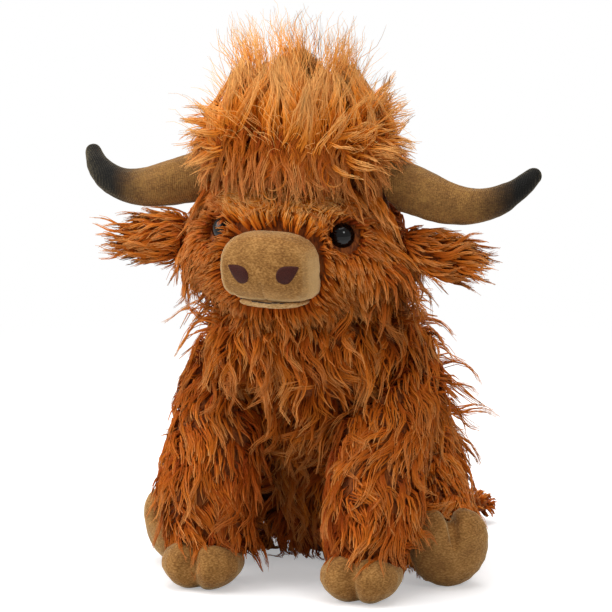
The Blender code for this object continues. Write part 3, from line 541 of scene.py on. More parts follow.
backings = [
    (backing("body_fabric", ["body_filling"], BACKING_OUT, "torso", stands_for=["body"]), "torso"),
    (backing("head_fabric", ["head_filling"], BACKING_OUT, "head", stands_for=["head"]), "head"),
    (backing("forelock_fabric", ["forelock"], 0.0, "head"), "head"),
    (backing("tail_fabric", ["tail"], -1.4 * MM, "tail", 1.0 * MM), "tail"),
    (backing("tuft_fabric", ["tail_tuft"], -3 * MM, "tail", 1.2 * MM), "tail"),
]
for side, word in SIDES:
    for piece, source, out_by, body in (
        (f"ear_fabric_{word}", f"ear_{word}", -2.2 * MM, f"{word}_ear"),
        (f"front_leg_fabric_{word}", f"front_leg_{word}", -3.0 * MM, f"{word}_front_leg"),
        (f"hind_leg_fabric_{word}", f"hind_leg_{word}", -3.0 * MM, f"{word}_hind_leg"),
    ):
        backings.append((backing(piece, [source], out_by, body, 1.5 * MM), body))
core = backings[2][0]
crown = np.array((0.0, 0.019 + FEET_Y, 0.180))
CORE_SHARE = 0.60  # of the forelock's size: the fabric on its crown, deep in the pile
move_points(core, crown + (points_of(core) - crown) * CORE_SHARE)
print("backing pieces:", len(backings), "with", sum(len(o.data.polygons) for o, b in backings), "faces")

# %% [markdown]
# The muzzle, the lip, the hooves and the horns are stuffed velboa. Short pile hides the knit, so each
# is an even skin, a touch fuller than its solid, with the small lumps that stuffing leaves under it and
# with the creases where its panels are sewn together.

# %% Velboa pieces
def lumpy(name, size):
    texture = bpy.data.textures.new(name, "CLOUDS")
    texture.noise_scale = size
    texture.noise_depth = 1
    return texture


stuffing_lumps = lumpy("stuffing_lumps", 9 * MM)
LUMP = 0.9 * MM


def velboa_piece(name, source, body, material, voxel, lump=LUMP, rounds=5):
    obj = stuffed(name, [source], material, voxel, 0.25 * MM, rounds)
    shape(
        obj,
        ("DISPLACE", {"texture": stuffing_lumps, "mid_level": 0.5, "strength": lump}),
        ("SMOOTH", {"factor": 0.5, "iterations": 2}),
    )
    co = points_of(obj)
    co[:, 2] = np.maximum(co[:, 2], 0.1 * MM)
    move_points(obj, co)
    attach(obj, body)
    return obj


def press_line(obj, distance, depth, width):
    """Presses a sewn crease into a piece. distance is how far each point is from the line."""
    co = points_of(obj)
    move_points(obj, co - normals_of(obj) * (depth * np.exp(-((distance / width) ** 2)))[:, None])


MUZZLE_MIDDLE_Z = 0.1513
MUZZLE_HALF = (22.0 * MM, 15.5 * MM)
CHIN_SET_BACK = 5.0 * MM  # how far the muzzle's lower edge is behind its middle


def square_up(obj):
    """Fills out the lower corners of the muzzle, and sets its lower edge back towards the chin."""
    co = points_of(obj)
    wide, high = np.abs(co[:, 0]) / MUZZLE_HALF[0], np.abs(co[:, 2] - MUZZLE_MIDDLE_Z) / MUZZLE_HALF[1]
    low = np.clip((MUZZLE_MIDDLE_Z - co[:, 2]) / (6 * MM), 0, 1)
    round_edge = (wide**2.7 + high**2.7) ** (1 / 2.7)
    square_edge = (wide**4.0 + high**4.0) ** (1 / 4.0)
    grow = 1 + (round_edge / np.maximum(square_edge, 1e-6) - 1) * low
    co[:, 0] *= grow
    co[:, 2] = MUZZLE_MIDDLE_Z + (co[:, 2] - MUZZLE_MIDDLE_Z) * grow
    co[:, 1] += CHIN_SET_BACK * np.clip((MUZZLE_MIDDLE_Z - co[:, 2]) / MUZZLE_HALF[1], 0, 1) ** 1.5
    move_points(obj, co)


TOE = 8.5 * MM  # from the cleft to the middle of a toe
HIND_YAW, HIND_TIP = math.radians(31.5), math.radians(82)


def hoof_frames(side):
    """Each hoof of one side: its middle, the way its toes point, the way across them, its cleft's depth."""
    forwards = np.array((side * math.sin(HIND_YAW), -math.cos(HIND_YAW), 0))
    hind = np.array((side * 0.029, 0.096 + FEET_Y, 0.018)) + forwards * 0.0705
    tip = forwards * math.cos(HIND_TIP) + UP * math.sin(HIND_TIP)
    front = np.array((side * 0.038, -0.001 + FEET_Y, 0.0115))
    yield "front", front, np.array((0, -1, 0)), np.array((1, 0, 0)), 0.8 * MM
    yield "hind", hind, tip, np.array((math.cos(HIND_YAW), side * math.sin(HIND_YAW), 0)), 3.0 * MM


def press_cleft(obj, middle, toes, across, depth):
    """Sews the cleft into a hoof, and fills the two toes beside it."""
    off = points_of(obj) - middle
    aside, ahead = np.abs(off @ across), np.clip((off @ toes + 3 * MM) / (10 * MM), 0, 1)
    swell = 0.7 * MM * ahead * np.exp(-(((aside - TOE) / (5.5 * MM)) ** 2))
    move_points(obj, points_of(obj) + normals_of(obj) * swell[:, None])
    press_line(obj, aside + 20 * MM * (1 - ahead) ** 2, depth, 2.0 * MM)
    co = points_of(obj)
    co[:, 2] = np.maximum(co[:, 2], 0.1 * MM)
    move_points(obj, co)


def mark_painted_light(obj, front, amount, top_too=True):
    """Marks painted light, a paler pile, where a piece turns away from its front, and at its top only if
    top_too.
    """
    away = np.clip(1 - normals_of(obj) @ np.array(front, float), 0, 1)
    marks = obj.data.attributes.new(PAINTED_LIGHT, "FLOAT", "POINT")
    level = 1.0 if top_too else 1 - np.clip(normals_of(obj)[:, 2] * 1.3, 0, 1)
    marks.data.foreach_set("value", (amount * level * away**1.5).astype(np.float32))


muzzle = velboa_piece("velboa_muzzle", "muzzle", "head", velboa, 0.55 * MM, 0.5 * MM)
square_up(muzzle)
co = points_of(muzzle)
below = np.clip((0.1490 - co[:, 2]) / (3 * MM), 0, 1)
press_line(muzzle, np.abs(co[:, 0] + 0.3 * MM) + 20 * MM * (1 - below), 0.55 * MM, 0.6 * MM)
for place in (-0.0135, 0.0140):
    co = points_of(muzzle)
    line = place * (1 + 0.10 * (0.1503 - co[:, 2]) / 0.01)
    below = np.clip((0.1440 - co[:, 2]) / (4 * MM), 0, 1)
    press_line(muzzle, np.abs(co[:, 0] - line) + 20 * MM * (1 - below), 0.35 * MM, 0.8 * MM)
# Painted sheen on the muzzle's edges.
mark_painted_light(muzzle, (0, -1, 0), 0.9, top_too=False)
lip = velboa_piece("velboa_lip", "lower_lip", "head", lip_velboa, 0.5 * MM, 0.3 * MM, 4)
move_points(lip, points_of(lip) * (0.94, 1, 1) + (0, 0.85 * CHIN_SET_BACK, 0.8 * MM))
for side, word in SIDES:
    horn = velboa_piece(
        f"velboa_horn_{word}", f"horn_{word}", "head", horn_velboa, 0.8 * MM, 0.7 * MM, 6
    )
    # Painted light on the upper side of the horn.
    mark_painted_light(horn, (0, 0, -1), 0.22)
    for end, middle, toes, across, depth in hoof_frames(side):
        hoof = velboa_piece(
            f"velboa_{end}_hoof_{word}",
            f"{end}_hoof_{word}",
            f"{word}_{end}_leg",
            velboa,
            0.8 * MM,
            0.9 * MM,
            4,
        )
        press_cleft(hoof, middle, toes, across, depth)
        # Painted sheen on the hoof's sides, away from its toes.
        mark_painted_light(hoof, toes, 0.06)

# %% [markdown]
# The seat is closed by a flat oval panel of cotton, which the toy rests on. Its edge is turned in.

# %% Seat panel
PANEL_MIDDLE, PANEL_HALF, PANEL_THICK = (0.0, 0.02908), (27.7 * MM, 20.7 * MM), 2.0 * MM
bm = bmesh.new()
rim = [
    bm.verts.new(
        (PANEL_MIDDLE[0] + PANEL_HALF[0] * math.cos(a), PANEL_MIDDLE[1] + PANEL_HALF[1] * math.sin(a), 0)
    )
    for a in np.linspace(0, math.tau, 96, endpoint=False)
]
sole = bm.faces.new(rim)
raised = bmesh.ops.extrude_face_region(bm, geom=[sole])["geom"]
bmesh.ops.translate(
    bm, verts=[v for v in raised if isinstance(v, bmesh.types.BMVert)], vec=(0, 0, PANEL_THICK)
)
bmesh.ops.recalc_face_normals(bm, faces=bm.faces)
rims = [e for e in bm.edges if abs(e.verts[0].co.z - e.verts[1].co.z) < 1e-6]
bmesh.ops.bevel(bm, geom=rims, offset=0.5 * MM, segments=3, profile=0.5, affect="EDGES", material=-1)
mesh = bpy.data.meshes.new("seat_panel")
bm.to_mesh(mesh)
bm.free()
seat_panel = new_object("seat_panel", mesh)
dress(seat_panel, cotton)
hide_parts("base_panel")
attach(seat_panel, "torso")
print("seat panel:", PANEL_HALF[0] * 2000, "by", PANEL_HALF[1] * 2000, "mm")

# %% [markdown]
# A safety eye is one moulded piece: a dome with a shank behind it. A turned part is drawn as half of its
# outline and spun round its axis. The dome's edge is a quarter of an ellipse with many points, because
# its highlight shows every facet.

# %% Safety eyes
EYE_TURN = math.radians(44)  # how far each eye looks to its side
EYES = [
    (
        np.array((side * 0.0279, -0.0015 + FEET_Y, 0.1641)),
        np.array((side * math.sin(EYE_TURN), -math.cos(EYE_TURN), 0.0)),
        word,
    )
    for side, word in SIDES
]
EYE_RADIUS, EYE_DOME, SHANK_RADIUS, SHANK_LENGTH = 6.0 * MM, 5.2 * MM, 2.0 * MM, 10.5 * MM
for base, looks, word in EYES:
    bm = bmesh.new()
    outline = [
        (0.0, -SHANK_LENGTH),
        (0.7 * SHANK_RADIUS, -SHANK_LENGTH),
        (SHANK_RADIUS, -SHANK_LENGTH + 0.6 * MM),
        (SHANK_RADIUS, -0.4 * MM),
    ]
    outline += [(EYE_RADIUS - 0.4 * MM, -0.4 * MM)]
    outline += (
        [(EYE_RADIUS * math.cos(a), EYE_DOME * math.sin(a)) for a in np.linspace(0, math.pi / 2, 20)[:-1]]
        + [(0.0, EYE_DOME)]
    )
    verts = [bm.verts.new((r, 0, h)) for r, h in outline]
    edges = [bm.edges.new(pair) for pair in zip(verts, verts[1:])]
    bmesh.ops.spin(
        bm, geom=verts + edges, axis=(0, 0, 1), cent=(0, 0, 0), angle=math.tau, steps=56, use_merge=True
    )
    bmesh.ops.remove_doubles(bm, verts=bm.verts, dist=0.001 * MM)
    bmesh.ops.recalc_face_normals(bm, faces=bm.faces)
    turn = Vector(looks).to_track_quat("Z", "Y").to_matrix().to_4x4()
    bmesh.ops.transform(bm, matrix=Matrix.Translation(Vector(base)) @ turn, verts=bm.verts)
    mesh = bpy.data.meshes.new(f"safety_eye_{word}")
    bm.to_mesh(mesh)
    bm.free()
    eye = new_object(f"safety_eye_{word}", mesh)
    for face in mesh.polygons:
        face.use_smooth = True
    dress(eye, eye_plastic)
    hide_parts(f"eye_{word}")
    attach(eye, "head")
print("eyes:", EYE_RADIUS * 2000, "mm across")

# %% [markdown]
# The nostrils are satin stitch: threads laid side by side across a drop shape, each a little arch from
# one edge to the other. The mouth is a line of back stitches in the crease over the lip. Both are short
# curves with a round section, laid on the muzzle's own surface and then made a mesh.

# %% Embroidery
def tree_of(*objs):
    bm = bmesh.new()
    for obj in objs:
        bm.from_mesh(obj.data)
    tree = BVHTree.FromBMesh(bm)
    bm.free()
    return tree


def stitches(name, lines, radius, material, body, nodes_for):
    curve = bpy.data.curves.new(name, "CURVE")
    curve.dimensions = "3D"
    curve.bevel_depth = 1.0
    curve.bevel_resolution = 1
    curve.use_fill_caps = True
    for line in lines:
        spline = curve.splines.new("POLY")
        spline.points.add(len(line) - 1)
        spline.points.foreach_set(
            "co", np.hstack([np.array(line), np.ones((len(line), 1))]).astype(np.float32).ravel()
        )
        spread = np.abs(np.linspace(-1, 1, len(line)))
        spline.points.foreach_set("radius", (radius * (1 - 0.35 * spread**4)).astype(np.float32))
    obj = new_object(name, curve)
    bpy.context.view_layer.update()
    mesh = bpy.data.meshes.new_from_object(obj.evaluated_get(bpy.context.evaluated_depsgraph_get()))
    bpy.data.objects.remove(obj)
    bm = bmesh.new()
    bm.from_mesh(mesh)
    bmesh.ops.remove_doubles(bm, verts=bm.verts, dist=0.0005 * MM)
    bmesh.ops.recalc_face_normals(bm, faces=bm.faces)
    bm.to_mesh(mesh)
    bm.free()
    obj = new_object(name, mesh)
    for face in mesh.polygons:
        face.use_smooth = True
    dress(obj, material)
    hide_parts(*nodes_for)
    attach(obj, body)
    return obj


muzzle_tree = tree_of(muzzle)
NOSTRIL_PLACE, NOSTRIL_TURN = (11.2 * MM, MUZZLE_MIDDLE_Z - 0.4 * MM), math.radians(32)
NOSTRIL_SHIFT = 1.2 * MM  # both sit a little towards the left
NOSTRIL_DROP = {-1: 0.9 * MM, 1: 0.1 * MM}  # and the right one lower, as sewn by hand
NOSTRIL_ROUND, NOSTRIL_LENGTH = 3.9 * MM, 11.0 * MM


def drop_half_width(s):
    """Half the drop's width at a share s of its length, from its round end to its point."""
    top = NOSTRIL_ROUND / NOSTRIL_LENGTH
    if s < top:
        return NOSTRIL_ROUND * math.sqrt(max(0.0, 1 - ((top - s) / top) ** 2))
    return NOSTRIL_ROUND * (1 - ((s - top) / (1 - top)) ** 1.5) ** 0.9


def on_muzzle(x, z, raised):
    hit = muzzle_tree.ray_cast(Vector((x, -0.2, z)), Vector((0, 1, 0)))
    return hit[0] + hit[1] * raised


THREAD = 0.30 * MM
for side, word in SIDES:
    cos_turn, sin_turn = side * math.cos(NOSTRIL_TURN), math.sin(NOSTRIL_TURN)
    middle_x = side * NOSTRIL_PLACE[0] + NOSTRIL_SHIFT
    middle_z = NOSTRIL_PLACE[1] - NOSTRIL_DROP[side]
    start = -NOSTRIL_LENGTH * 0.46
    lines = []
    for k in range(27):
        s = 0.02 + 0.95 * k / 26
        half = drop_half_width(s)
        along = start + s * NOSTRIL_LENGTH
        line = []
        for t in np.linspace(-1, 1, 9):
            slant = along + 0.12 * half * t
            x = middle_x + cos_turn * slant + sin_turn * side * half * t * -1
            z = middle_z + sin_turn * slant + math.cos(NOSTRIL_TURN) * half * t
            line.append(on_muzzle(x, z, THREAD * (0.9 - 1.3 * t**6)))
        lines.append(line)
    stitches(f"nostril_stitches_{word}", lines, THREAD, thread, "head", [f"nostril_{word}"])

mesh = nodes["mouth_thread"].data
co = np.array([v.co for v in mesh.vertices])
angle = np.arctan2(co[:, 0], -(co[:, 1] - (co[:, 1].min() + 0.016)))
order = np.linspace(angle.min(), angle.max(), 40)
route = []
for a, b in zip(order, order[1:]):
    part = co[(angle >= a) & (angle <= b)]
    if len(part):
        route.append(part.mean(0))
route = np.array(route)
length = np.concatenate([[0], np.cumsum(np.linalg.norm(np.diff(route, axis=0), axis=1))])
route[:, 1] += 0.85 * CHIN_SET_BACK
STITCH, BETWEEN = 3.3 * MM, 0.1 * MM
lines = []
here = 0.6 * MM
while here + STITCH < length[-1]:
    at = np.linspace(here, here + STITCH, 7)
    line = np.stack([np.interp(at, length, route[:, i]) for i in range(3)], 1)
    arch = 1 - np.linspace(-1, 1, 7) ** 4
    line[:, 1] -= 0.45 * MM * arch
    line[:, 2] += 0.25 * MM
    line[:, 2] += 0.15 * MM * math.sin(len(lines) * 2.3)
    lines.append(line)
    here += STITCH + BETWEEN
stitches("mouth_stitches", lines, 0.34 * MM, seam_thread, "head", ["mouth_thread"])
print("stitches in the mouth:", len(lines), "over", round(length[-1] * 1000, 1), "mm")

# %% [markdown]
# The pile is grown the way a maker would comb it: each lock starts under the pile's surface, stands up
# out of the backing, turns over into the comb direction of its place and sinks a little under its own
# weight. It may not enter a solid, so the surfaces are kept in search trees. A lock starts only where its
# solid is open to the air, which leaves out inner walls and the faces where two pieces meet.

# %% The surfaces that the pile grows on
MEETING = 1.2 * MM  # closer than this, another piece lies on the surface
HIDDEN = ("body_filling", "head_filling", "bead_pouch", "base_panel", "eye_washer_left", "eye_washer_right")


def unit(v):
    return v / np.maximum(np.linalg.norm(v, axis=-1, keepdims=True), 1e-9)


def corners_of(name):
    """The corner points of a CAD node's triangles, as an array of triangles by corners by axes."""
    mesh = nodes[name].data
    co = np.empty(len(mesh.vertices) * 3)
    mesh.vertices.foreach_get("co", co)
    mesh.calc_loop_triangles()
    index = np.empty(len(mesh.loop_triangles) * 3, np.int32)
    mesh.loop_triangles.foreach_get("vertices", index)
    return co.reshape(-1, 3)[index].reshape(-1, 3, 3)


def search_tree(triangles):
    flat = triangles.reshape(-1, 3)
    faces = np.arange(len(flat)).reshape(-1, 3)
    return BVHTree.FromPolygons(
        [tuple(p) for p in flat], [tuple(f) for f in faces.tolist()], all_triangles=True
    )


def face_normals(triangles):
    return unit(np.cross(triangles[:, 1] - triangles[:, 0], triangles[:, 2] - triangles[:, 0]))


def is_free(points, tree):
    return np.array([tree.find_nearest(p, MEETING)[0] is None for p in points], bool)


all_corners = {name: corners_of(name) for name in nodes}
open_corners = {}
other_trees = {}
for name in nodes:
    others = [all_corners[n] for n in nodes if n != name]
    other_trees[name] = search_tree(np.concatenate(others))
    if name not in HIDDEN:
        open_corners[name] = all_corners[name][is_free(all_corners[name].mean(1), other_trees[name])]
surface = search_tree(np.concatenate(list(open_corners.values())))
print(
    "open triangles:",
    sum(len(t) for t in open_corners.values()),
    "of",
    sum(len(t) for t in all_corners.values()),
)

# %% [markdown]
# Lock roots are spread at random, by area. A second function gives a smooth random direction that turns
# over every few centimetres, as fur does that hands have ruffled.

# %% Where locks start, and how they are ruffled
def scatter(name, count, rng, within=None):
    """Points on the open surface of a node, where within allows, and the outward direction at each."""
    triangles = all_corners[name]
    size = np.linalg.norm(
        np.cross(triangles[:, 1] - triangles[:, 0], triangles[:, 2] - triangles[:, 0]), axis=1
    )
    normal = face_normals(triangles)
    points, outward = [], []
    found = 0
    while found < count:
        pick = rng.choice(len(triangles), count, p=size / size.sum())
        a, b = rng.random((2, count))
        over = a + b > 1
        a[over], b[over] = 1 - a[over], 1 - b[over]
        t = triangles[pick]
        p = t[:, 0] + a[:, None] * (t[:, 1] - t[:, 0]) + b[:, None] * (t[:, 2] - t[:, 0])
        keep = ~((p[:, 2] < 1.5 * MM) & (normal[pick][:, 2] < -0.7))
        if within:
            keep &= within(p)
        keep[keep] = is_free(p[keep], other_trees[name])
        points.append(p[keep])
        outward.append(normal[pick][keep])
        found += keep.sum()
    return np.concatenate(points)[:count], np.concatenate(outward)[:count]


def ruffle(points, size, seed):
    """A smooth random vector at each point, with parts from about -1 to 1."""
    rng = np.random.default_rng(seed)
    out = np.zeros_like(points)
    for axis in range(3):
        for _ in range(4):
            wave = unit(rng.normal(size=3)) * math.tau / (size * rng.uniform(0.7, 1.5))
            out[:, axis] += np.sin(points @ wave + rng.uniform(0, math.tau)) / 2
    return out


# %% [markdown]
# The eyes and the muzzle stay clear of long pile. A lock that drifts in front of one is moved aside, out
# of a window that runs forwards from it.

# %% Windows in front of the eyes and the muzzle
EYE_WINDOW = 6.8 * MM
MUZZLE_MIDDLE = np.array((0.0, -0.031 + FEET_Y, 0.1503))
MUZZLE_WINDOW = (21.8 * MM, 16.6 * MM)


def clear_windows(points):
    for base, looks, word in EYES:
        away = points - base
        ahead = away @ looks
        aside = away - ahead[:, None] * looks
        far = np.linalg.norm(aside, axis=1)
        radius = EYE_WINDOW + 0.10 * np.clip(ahead, 0, 0.03)
        inside = (ahead > -1 * MM) & (ahead < 0.05) & (far < radius)
        points[inside] += (aside * ((radius - far) / np.maximum(far, 1e-6))[:, None])[inside]
    wide = points[:, 0] / MUZZLE_WINDOW[0]
    high = (points[:, 2] - MUZZLE_MIDDLE[2]) / MUZZLE_WINDOW[1]
    far = (np.abs(wide) ** 2.7 + np.abs(high) ** 2.7) ** (1 / 2.7)
    inside = (points[:, 1] < MUZZLE_MIDDLE[1] + 9 * MM) & (far < 1)
    grow = (1 / np.maximum(far, 0.2))[inside]
    points[inside, 0] *= grow
    points[inside, 2] = MUZZLE_MIDDLE[2] + (points[inside, 2] - MUZZLE_MIDDLE[2]) * grow
    return points


# %% [markdown]
# One lock is first a single line of points, grown step by step from root to tip. Then it is waved, nearly
# in step with its neighbours, and split into the fibres that lie together in it and close to a point.

# %% Growing the lines of the locks
LINE_POINTS = 13
LOWEST = 0.6 * MM  # lowest middle line of a fibre, above the floor
allowed = [0.03 * (b - a) + 10 * MM - 1.5 * MM for a, b in zip(*cad_box)]
LOW_CORNER = np.array([a - e for a, e in zip(cad_box[0], allowed)])
HIGH_CORNER = np.array([b + e for b, e in zip(cad_box[1], allowed)])


def clear_of(points, height, tree=None):
    """Moves points that lie deeper than height under the surface of the solids out to that height."""
    tree = tree or surface
    out = points.copy()
    for i, p in enumerate(points):
        near, normal, _, far = tree.find_nearest(p, 16 * MM)
        if near is None:
            continue
        deep = (Vector(p) - near).dot(normal)
        if deep < height[i] and far < 15 * MM:
            out[i] = np.array(near + normal * height[i])
    return out


def grow_lines(roots, outward, heading, length, lift, layer, sink, droop=0.10, turn=0.35):
    """The lines of the locks: roots by points by axes."""
    heading = unit(heading)
    first = roots - outward * sink[:, None]
    way = unit(outward * lift[:, None] + heading * (1 - lift[:, None]))
    second = roots + way * 0.5 * MM + outward * np.minimum(layer, 0)[:, None]
    step = (length / (LINE_POINTS - 2))[:, None]
    line = [first, second]
    place = second
    for k in range(2, LINE_POINTS):
        way = unit(way + (heading - way) * turn * (1.2 - lift[:, None]) - UP * droop * k / LINE_POINTS)
        ahead = place + way * step
        ahead = clear_of(ahead, layer * min(1.0, k / 5))
        ahead = clear_windows(ahead)
        ahead[:, 2] = np.maximum(ahead[:, 2], LOWEST + np.abs(layer) * 0.6)
        way = unit(ahead - place)
        place = place + way * step
        place[:, 2] = np.maximum(place[:, 2], LOWEST)
        line.append(place)
    return np.stack(line, 1)


def wave_lines(lines, outward, length, height, size, rng):
    """Gives each line its own S-waves, which grow towards the tip."""
    along = np.linspace(0, 1, LINE_POINTS)
    flow = np.gradient(lines, axis=1)
    flow = unit(flow)
    side = unit(np.cross(flow, outward[:, None, :]))
    up = np.cross(side, flow)
    count = len(lines)
    shared = ruffle(lines[:, 0], 26 * MM, 77)
    turns = length / (size * rng.uniform(0.85, 1.2, count))
    start = (2.4 * shared[:, 0] + rng.normal(0, 0.45, count))[:, None]
    rise = (2.4 * shared[:, 1] + rng.normal(0, 0.6, count))[:, None]
    swell = height[:, None] * np.clip(along * 2.2, 0, 1)[None, :]
    phase = math.tau * turns[:, None] * along[None, :]
    sway = swell * (np.sin(phase + start) - np.sin(start) * (1 - along))
    lift = swell * 0.55 * np.sin(phase * 0.85 + rise)
    return lines + side * sway[..., None] + up * lift[..., None]


# %% [markdown]
# A thick pile is seen as one soft surface and not as single fibres. So each fibre keeps, beside its
# points, the way that the surface of its lock faces there: the way the coat faces, rounded over the
# lock. The mesh's normals are later turned most of the way towards it.

# %% Splitting locks into fibres
FIBRE_ROOT = 0.27 * MM
FIBRE_TIP = 0.08 * MM
LOCK_ROUNDING = 0.8
FOUNTAIN = np.array((0.0, 0.019 + FEET_Y, 0.176))  # the forelock's axis, at the parting


def coat_facing(lines):
    """The way that the coat faces at each point of the lines."""
    out = np.array([surface.find_nearest(p)[1] for p in lines.reshape(-1, 3)[::3]])
    out = np.repeat(out, 3, axis=0)[: lines.shape[0] * lines.shape[1]].reshape(lines.shape)
    out[..., 2] = np.maximum(out[..., 2], -0.1)
    flow = unit(np.gradient(lines, axis=1))
    top = np.clip((lines[..., 2:] - 0.222) / 0.016, 0, 1)
    out = out * (1 - 0.6 * top) + top * unit((lines - FOUNTAIN) * (1, 1, 0))
    return unit(out - 0.8 * flow * (out * flow).sum(2, keepdims=True) + (0.25 + 0.35 * top) * UP)


def split_locks(lines, outward, tone, width, count, points, rng, spread_tip=0.28):
    """Splits each lock into count fibres: their points, each with the way it faces, and their shades."""
    number = len(lines)
    owner = np.repeat(np.arange(number), count)
    total = len(owner)
    reach = rng.uniform(0.70, 1.0, total)
    along = np.linspace(0, 1, points)
    at = along[None, :] * reach[:, None] * (LINE_POINTS - 1)
    low = np.minimum(at.astype(int), LINE_POINTS - 2)
    part = (at - low)[..., None]
    rows = np.arange(total)[:, None]
    own = lines[owner]
    middle = own[rows, low] * (1 - part) + own[rows, low + 1] * part
    n = outward[owner]
    first = unit(np.cross(n, rng.normal(size=(total, 3))))
    radius = np.sqrt(rng.random(total)) * width[owner]
    closing = (1 - along) ** 0.9 * (1 - spread_tip) + spread_tip
    offset = first * radius[:, None]
    fibres = middle + offset[:, None, :] * closing[None, :, None]
    frizz = rng.normal(size=(total, 3)) * 0.40 * MM
    beat = np.sin(along[None, :] * rng.uniform(3, 9, (total, 1)) + rng.uniform(0, 6, (total, 1)))
    fibres += frizz[:, None, :] * (beat * along[None, :])[..., None]
    fibres += n[:, None, :] * (rng.normal(0, 0.35 * MM, (total, 1)) * along[None, :])[..., None]
    shade = tone[owner] + rng.normal(0, 0.03, total)
    facing = coat_facing(lines)[owner]
    facing = facing[rows, low] * (1 - part) + facing[rows, low + 1] * part
    facing = unit(facing + LOCK_ROUNDING * (offset / width[owner][:, None])[:, None, :])
    return np.concatenate([fibres, facing], axis=2), shade


def keep_inside(fibres):
    fibres[..., 2] = np.maximum(fibres[..., 2], LOWEST)
    fibres[..., :3] = np.clip(fibres[..., :3], LOW_CORNER, HIGH_CORNER)
    return fibres


# %% [markdown]
# The fibres become a mesh by way of a curve: one short spline a fibre, with a small triangle as its
# section and a radius that shrinks to the tip. The conversion closes both ends. It lists the end caps of
# all splines first and then the tubes, ring by ring, which tells where each vertex lies on its fibre,
# and so what the two UV maps hold there.

# %% Turning fibres into a mesh
def triangle_section():
    curve = bpy.data.curves.new("fibre_section", "CURVE")
    spline = curve.splines.new("POLY")
    spline.points.add(2)
    for i, point in enumerate(spline.points):
        point.co = (math.cos(math.tau * i / 3), math.sin(math.tau * i / 3), 0, 1)
    spline.use_cyclic_u = True
    return new_object("fibre_section", curve)


def fur_mesh(name, bunches):
    """One mesh from bunches of (fibres, shades, thickness, how much of the painted root shade the fibres
    skip).
    """
    section = triangle_section()
    curve = bpy.data.curves.new(name, "CURVE")
    curve.dimensions = "3D"
    curve.bevel_mode = "OBJECT"
    curve.bevel_object = section
    curve.use_fill_caps = True
    sizes, root_lightening, shades, caps, rings = [], [], [], [], []
    for fibres, shade, thick, lightened in bunches:
        number, points = fibres.shape[:2]
        co = np.ones((number, points, 4), np.float32)
        co[:, :, :3] = fibres[:, :, :3]
        along = np.linspace(0, 1, points)
        radius = (FIBRE_ROOT + (FIBRE_TIP - FIBRE_ROOT) * along**1.6).astype(np.float32) * thick
        for k in range(number):
            spline = curve.splines.new("POLY")
            spline.points.add(points - 1)
            spline.points.foreach_set("co", co[k].ravel())
            spline.points.foreach_set("radius", radius)
        sizes += [points] * number
        root_lightening += [lightened] * number
        shades.append(shade)
        caps.append(np.repeat(fibres[:, (0, -1), 3:].reshape(-1, 3), 3, axis=0))
        rings.append(np.repeat(fibres[:, :, 3:].reshape(-1, 3), 3, axis=0))
    holder = new_object(name + "_curve", curve)
    bpy.context.view_layer.update()
    graph = bpy.context.evaluated_depsgraph_get()
    mesh = bpy.data.meshes.new_from_object(holder.evaluated_get(graph))
    bpy.data.objects.remove(holder)
    bpy.data.objects.remove(section)
    bpy.data.curves.remove(curve)
    mesh.name = name
    write_maps(mesh, sizes, root_lightening, np.concatenate(shades))
    turn_normals(mesh, np.concatenate(caps + rings))
    return new_object(name, mesh)


def write_maps(mesh, sizes, root_lightening, shades):
    """Writes the shade of the lock and the way along the fibre into both UV maps."""
    shades = np.clip(shades, 0.04, 0.96)
    shades[:2] = (0.04, 0.96)
    number = len(sizes)
    corner = np.tile((0, 1, 2), 2)
    cap_tone = np.repeat(shades, 6) + np.tile(corner * 0.006, number)
    cap_along = (
        np.repeat(root_lightening, 6) * np.tile((1, 1, 1, 0, 0, 0), number)
        + np.tile((0.0, 0.008, 0.0, 1.0, 0.992, 1.0), number)
    )
    tube_tone = np.concatenate([np.tile((0, 0.006, 0.012), s) + t for s, t in zip(sizes, shades)])
    tube_along = np.concatenate([np.repeat(np.linspace(w, 1, s), 3) for s, w in zip(sizes, root_lightening)])
    table = np.stack([np.concatenate([cap_tone, tube_tone]), np.concatenate([cap_along, tube_along])], 1)
    if len(table) != len(mesh.vertices):
        raise RuntimeError("the fibres' vertices are not where they should be")
    index = np.empty(len(mesh.loops), np.int32)
    mesh.loops.foreach_get("vertex_index", index)
    values = table[index].astype(np.float32).ravel()
    while mesh.uv_layers:
        mesh.uv_layers.remove(mesh.uv_layers[0])
    for name in (STRAND_MAP, BAKE_MAP):
        mesh.uv_layers.new(name=name).data.foreach_set("uv", values)


OWN_SHARE = 0.50  # how much of its own roundness a fibre keeps


def turn_normals(mesh, facing):
    """Closes the fibres' ends and turns the normals towards the way that their locks face."""
    kept = mesh.attributes.new("facing", "FLOAT_VECTOR", "POINT")
    kept.data.foreach_set("vector", facing.astype(np.float32).ravel())
    bm = bmesh.new()
    bm.from_mesh(mesh)
    bmesh.ops.remove_doubles(bm, verts=bm.verts, dist=0.0005 * MM)
    bmesh.ops.reverse_faces(bm, faces=bm.faces)
    bm.to_mesh(mesh)
    bm.free()
    for face in mesh.polygons:
        face.use_smooth = True
    facing = np.empty(len(mesh.vertices) * 3, np.float32)
    mesh.attributes["facing"].data.foreach_get("vector", facing)
    own = np.empty(len(mesh.vertices) * 3, np.float32)
    mesh.vertices.foreach_get("normal", own)
    mesh.attributes.remove(mesh.attributes["facing"])
    mixed = unit(OWN_SHARE * own.reshape(-1, 3) + (1 - OWN_SHARE) * unit(facing.reshape(-1, 3)))
    mesh.normals_split_custom_set_from_vertices(mixed)


# %% [markdown]
# A coat is the pile of one solid: long locks that make its look, and under them single shorter fibres
# that fill it. What differs from place to place is the comb: the direction, length, lift and shade.

# %% A coat from a comb
LIE_FLAT = 0.6  # the share of a comb's outward part that is taken away, so that the pile lies


